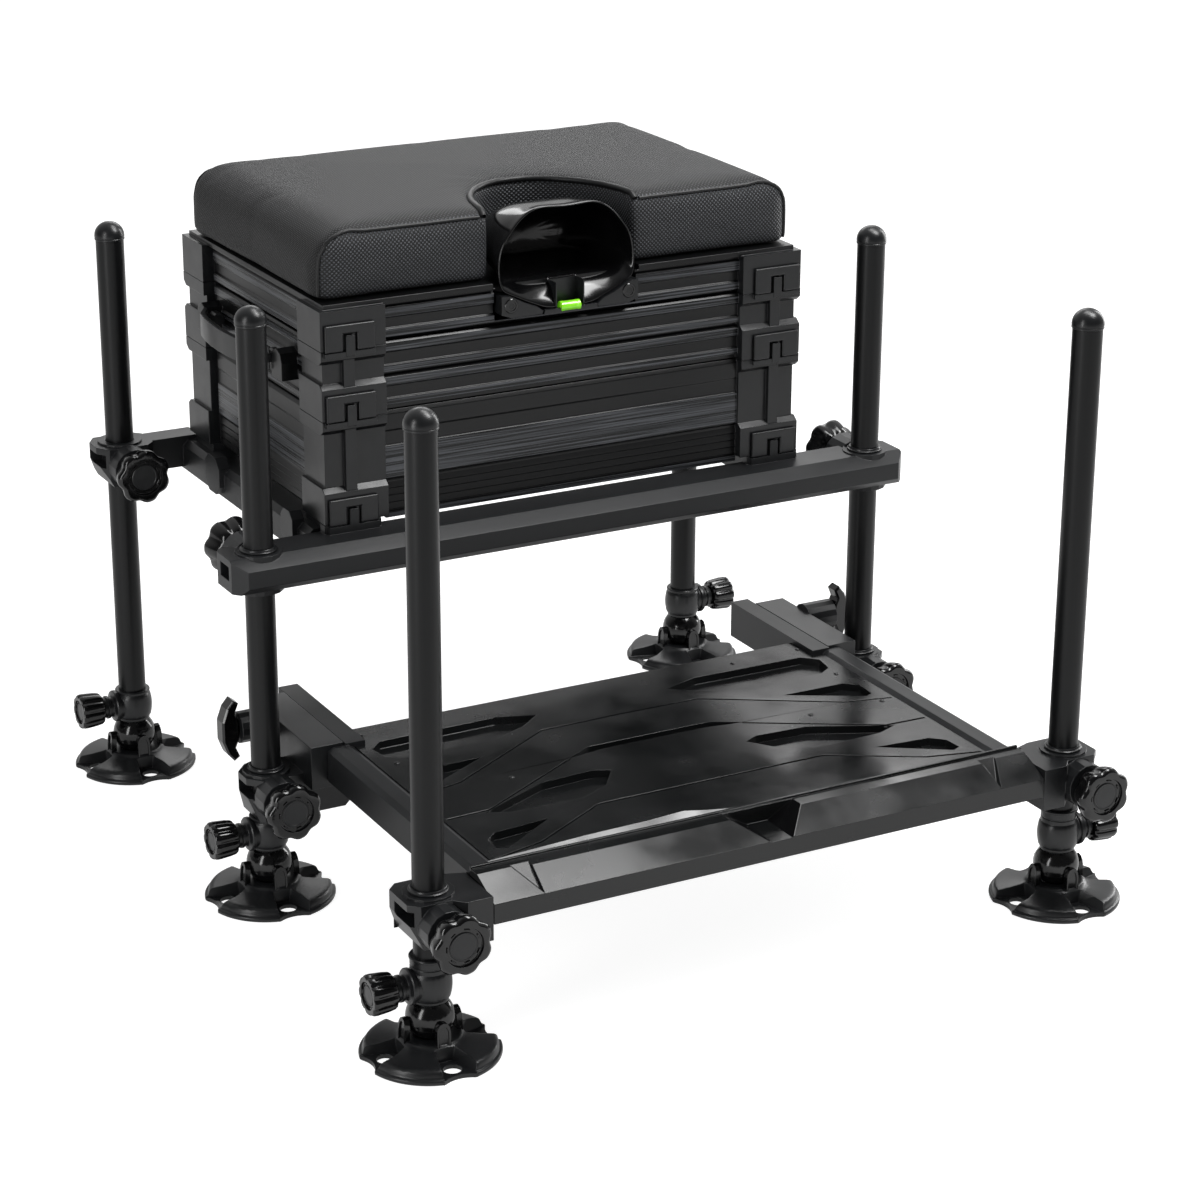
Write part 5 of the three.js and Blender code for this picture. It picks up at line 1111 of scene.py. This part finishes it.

# %% [markdown]
# The cover is a smooth top that rolls over into ribbed ends, painted darker as shade, and a
# coarse woven front and back. A seam joins the top to each of them: up one end, along the top's
# edge and down the other end. The front seam also goes round the cut-out for the hood. The seams
# are written as points, close together on the curves and further apart on the straight stretches.

# %% Seams of the cushion
PAD_HALF, PAD_FRONT, PAD_REAR, PAD_TOP, PAD_ROLL = 230, 24, 308, 568.5, 36
CUT_HALF, CUT_DEPTH, PAD_BOTTOM = 70, 98, 509
ROLL_STEPS, CUT_STEPS = 14, 32
SEAM_IN, SEAM_DOWN, SEAM_END = 1.2, 2.4, 184


def end_roll(sign, y):
    points = [(sign * (PAD_HALF + 0.4), y, z) for z in (PAD_BOTTOM + 1, 516, 524)]
    for i in range(ROLL_STEPS + 1):
        turn = math.pi / 2 * i / ROLL_STEPS
        points.append((sign * (PAD_HALF - PAD_ROLL * (1 - math.cos(turn))), y,
                       PAD_TOP - PAD_ROLL * (1 - math.sin(turn))))
    return points


def front_seam():
    y = PAD_FRONT + SEAM_IN
    left = end_roll(-1, y)
    left += [(x, y + 0.6, PAD_TOP - SEAM_DOWN) for x in range(-SEAM_END, -75, 12)]
    cut = []
    for i in range(CUT_STEPS + 1):
        turn = math.pi * (1 - i / CUT_STEPS)
        cut.append(((CUT_HALF + SEAM_IN) * math.cos(turn),
                    PAD_FRONT + (CUT_DEPTH + SEAM_IN) * math.sin(turn) + 1,
                    PAD_TOP + 0.4 if 0 < i < CUT_STEPS else PAD_TOP - 1.5))
    right = [(-x, y, z) for x, y, z in reversed(left)]
    return left, cut, right


def rear_seam():
    y = PAD_REAR - SEAM_IN
    across = [(x, y, PAD_TOP - SEAM_DOWN) for x in range(-SEAM_END, SEAM_END + 1, 23)]
    return end_roll(-1, y) + across + end_roll(1, y)[::-1]


front_left, round_cut, front_right = front_seam()
seams = {"front_left": (front_left, 1.5), "cut": (round_cut, 2.8), "front_right": (front_right, 1.5),
         "rear": (rear_seam(), 1.5)}
print("seams, with their points:", {name: len(seam) for name, (seam, _) in seams.items()})

# %% [markdown]
# Thread pulls the cover down into the foam, so near a seam each point moves in along its normal,
# less and less with its distance from the seam. After one subdivision the cover is smooth.

# %% Draw in the seams
def draw_in(piece, path, reach_mm, depth_mm):
    dense = []
    for a, b in zip(path, path[1:]):
        a, b = Vector(a), Vector(b)
        steps = max(1, int((b - a).length / 2))
        dense += [a.lerp(b, i / steps) for i in range(steps)]
    tree = KDTree(len(dense))
    for i, point in enumerate(dense):
        tree.insert(point * MM, i)
    tree.balance()
    moves = []
    for vertex in piece.data.vertices:
        distance = tree.find(vertex.co)[2] / MM
        share = max(0, 1 - distance / reach_mm)
        moves.append(vertex.normal * -depth_mm * MM * share * share)
    for vertex, move in zip(piece.data.vertices, moves):
        vertex.co += move


for seam, _ in seams.values():
    draw_in(pad, seam, reach_mm=9, depth_mm=1.6)
modify(pad, "SUBSURF", levels=1, render_levels=1)
smooth(pad, 60)
print("cushion after its seams:", len(pad.data.vertices), "points")

# %% [markdown]
# Cloth is flat before it is sewn, so each point of the cover needs its place on the flat cloth.
# The front and back are flat already, the lining of the cut-out is unrolled, and the ends of the
# top are unrolled too. This becomes the UV map that the cloth materials read, in metres.

# %% Flat places of the cloth
FRONT_LIMIT, REAR_LIMIT, CUT_RADIUS, CUT_MARGIN = 40, 292, 84, 4


def on_woven_panel(spot, normal):
    """True for the cover's front and back, where it faces more forwards or backwards than up."""
    return abs(normal.y) > 0.72 and (spot.y < FRONT_LIMIT or spot.y > REAR_LIMIT)


def in_cut_out(spot, normal):
    """True for the upright lining of the cut-out for the hood."""
    near = abs(spot.x) < CUT_HALF + CUT_MARGIN and spot.y < PAD_FRONT + CUT_DEPTH + CUT_MARGIN
    return near and abs(normal.z) < 0.6


def weave_place(spot, normal):
    """Flat place of a point of the cover, in metres: along the cloth, and across it."""
    x, y, z = spot
    if on_woven_panel(spot, normal):
        return x * MM, z * MM
    if in_cut_out(spot, normal):
        return math.atan2(y - PAD_FRONT, x) * CUT_RADIUS * MM, z * MM
    start = PAD_HALF - PAD_ROLL
    if abs(x) <= start:
        return x * MM, y * MM
    turn = math.atan2(abs(x) - start, max(z - (PAD_TOP - PAD_ROLL), 0.001))
    extra = PAD_ROLL * turn + max(0, PAD_TOP - PAD_ROLL - z)
    return math.copysign(start + extra, x) * MM, y * MM


print("cloth of the top goes", round(PAD_ROLL * math.pi / 2), "mm round each end")

# %% [markdown]
# Each face of the cover gets its cloth: coarse on the front, on the back and in the cut-out,
# ribbed on the ends, and fine on the rest. Each corner of a face gets its flat place. The cover
# rides with the seat.

# %% Cloth on the cushion
coat(pad, top_cloth)
pad.data.materials.append(front_cloth)
pad.data.materials.append(end_cloth_painted_shade)
weave = pad.data.uv_layers.new(name="weave")
counts = [0, 0, 0]
for face in pad.data.polygons:
    centre, normal = face.center / MM, face.normal
    coarse = on_woven_panel(centre, normal) or in_cut_out(centre, normal)
    # Ribbed cloth goes on the ends, which are painted darker as shade.
    face.material_index = 1 if coarse else 2 if abs(normal.x) > 0.75 else 0
    counts[face.material_index] += 1
    for loop in face.loop_indices:
        point = pad.data.vertices[pad.data.loops[loop].vertex_index].co / MM
        weave.data[loop].uv = weave_place(point, normal)
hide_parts("seat_cushion")
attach(pad, "seat")
print("cushion faces of top, front and side cloth:", counts)

# %% [markdown]
# Piping covers the stitches. It is a round cord along the seam's points, each pulled onto the
# nearest place of the cushion and lifted by half the cord's radius, so that the cloth holds it.

# %% Piping
def corded(name, points, radius_mm, material):
    curve = bpy.data.curves.new(name, "CURVE")
    curve.dimensions = "3D"
    curve.bevel_depth = radius_mm * MM
    curve.bevel_resolution = 2
    spline = curve.splines.new("POLY")
    spline.points.add(len(points) - 1)
    for target, point in zip(spline.points, points):
        _, location, normal, _ = pad.closest_point_on_mesh(Vector(point) * MM)
        spot = location + normal * 0.5 * radius_mm * MM
        target.co = (*spot, 1)
    only(new_object(name, curve))
    bpy.ops.object.convert(target="MESH")
    piece = bpy.context.object
    smooth(piece, 60)
    coat(piece, material)
    return piece


for name, (seam, radius_mm) in seams.items():
    piping = corded(f"piping_{name}", seam, radius_mm, piping_cloth)
    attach(piping, "seat")
print("piping cords:", len(seams))

# %% [markdown]
# The object stands on a pale floor, which keeps its shadow. The floor adds white for the camera
# and a dimmer white for reflections, but none for diffuse light, which would wash out the dark
# finishes.

# %% Floor
FLOOR_SEEN, FLOOR_MIRRORED = 0.88, 0.42
bpy.ops.object.select_all(action="DESELECT")
bpy.ops.mesh.primitive_plane_add(size=14, location=(0, 0, 0))
floor = bpy.context.object
floor.name = "floor"
floor_white, tree = new_material("studio_floor")
rays = add_node(tree, "ShaderNodeLightPath").outputs
mirror = add_node(tree, "ShaderNodeMath", {0: rays["Is Glossy Ray"], 1: rays["Is Transmission Ray"]},
                  operation="ADD", use_clamp=True)
mirrored = add_node(tree, "ShaderNodeMath", {0: mirror.outputs["Value"], 1: FLOOR_MIRRORED},
                    operation="MULTIPLY")
glow = add_node(tree, "ShaderNodeMath", {0: rays["Is Camera Ray"], 1: FLOOR_SEEN,
                                         2: mirrored.outputs["Value"]}, operation="MULTIPLY_ADD")
matte = add_node(tree, "ShaderNodeBsdfDiffuse", {"Color": linear("#b3b3b3")})
lit = add_node(tree, "ShaderNodeEmission", {"Strength": glow.outputs["Value"]})
both = add_node(tree, "ShaderNodeAddShader", {0: matte.outputs["BSDF"], 1: lit.outputs["Emission"]})
add_node(tree, "ShaderNodeOutputMaterial", {"Surface": both.outputs["Shader"]})
floor.data.materials.append(floor_white)
print("floor:", round(floor.dimensions.x), "m square")

# %% [markdown]
# The room is white to the camera. Reflections see it too, brightest behind the object and dark
# in front of it, as in a studio with one pale screen. For diffuse light it is a dim, even grey.

# %% Room
SCREEN_SIDE = (0.44, 0.82, 0.36)  # the direction of the pale screen, behind the object
DIFFUSE_GREY = 0.5
room = bpy.data.worlds.new("room")
bpy.context.scene.world = room
room.use_nodes = True
tree = room.node_tree
tree.nodes.clear()
rays = add_node(tree, "ShaderNodeLightPath")
direct = add_node(tree, "ShaderNodeMath", {0: rays.outputs["Is Camera Ray"],
                                           1: rays.outputs["Is Glossy Ray"]}, operation="ADD")
clear = add_node(tree, "ShaderNodeMath", {0: direct.outputs["Value"],
                                          1: rays.outputs["Is Transmission Ray"]},
                 operation="ADD", use_clamp=True)
seen_from = add_node(tree, "ShaderNodeTexCoord").outputs["Generated"]
toward = add_node(tree, "ShaderNodeVectorMath", {0: seen_from, 1: SCREEN_SIDE},
                  operation="DOT_PRODUCT")
screen = add_node(tree, "ShaderNodeMapRange", {"Value": toward.outputs["Value"], "From Min": -0.1,
                                               "From Max": 0.75, "To Min": 0.08, "To Max": 0.6})
mirrored = add_node(tree, "ShaderNodeMix", {0: rays.outputs["Is Camera Ray"],
                                            2: screen.outputs["Result"], 3: 1.0}, data_type="FLOAT")
strength = add_node(tree, "ShaderNodeMix", {0: clear.outputs["Value"], 2: DIFFUSE_GREY,
                                            3: mirrored.outputs[0]}, data_type="FLOAT")
background = add_node(tree, "ShaderNodeBackground",
                      {"Color": linear("#ffffff"), "Strength": strength.outputs[0]})
add_node(tree, "ShaderNodeOutputWorld", {"Surface": background.outputs["Background"]})
print("room:", len(tree.nodes), "nodes")

# %% [markdown]
# Five soft lamps: one overhead for the cushion, a strip on either side for the legs' long
# highlights, one above the front for the sloping rail, and one behind for the tops of the bars.

# %% Lamps
def lamp(name, place, target, size, watts):
    light = bpy.data.lights.new(name, "AREA")
    light.shape = "RECTANGLE"
    light.size, light.size_y = size
    light.energy = watts
    made = new_object(name, light)
    made.location = place
    made.rotation_euler = (Vector(target) - Vector(place)).to_track_quat("-Z", "Y").to_euler()


lamp("overhead", (0.45, 0.02, 2.05), (0.3, -0.02, 0.3), (1.0, 0.6), 14)
lamp("left_strip", (-2.2, -0.9, 0.9), (0, 0, 0.3), (0.45, 1.8), 18)
lamp("right_strip", (2.1, 0.5, 0.9), (0, 0, 0.3), (0.4, 1.6), 16)
lamp("front_top", (0.74, -0.65, 1.9), (0, 0, 0.45), (0.62, 0.7), 20)
lamp("backdrop", (0.9, 2.0, 1.5), (0, 0, 0.45), (1.6, 0.6), 9)
print("lamps:", len(bpy.data.lights))
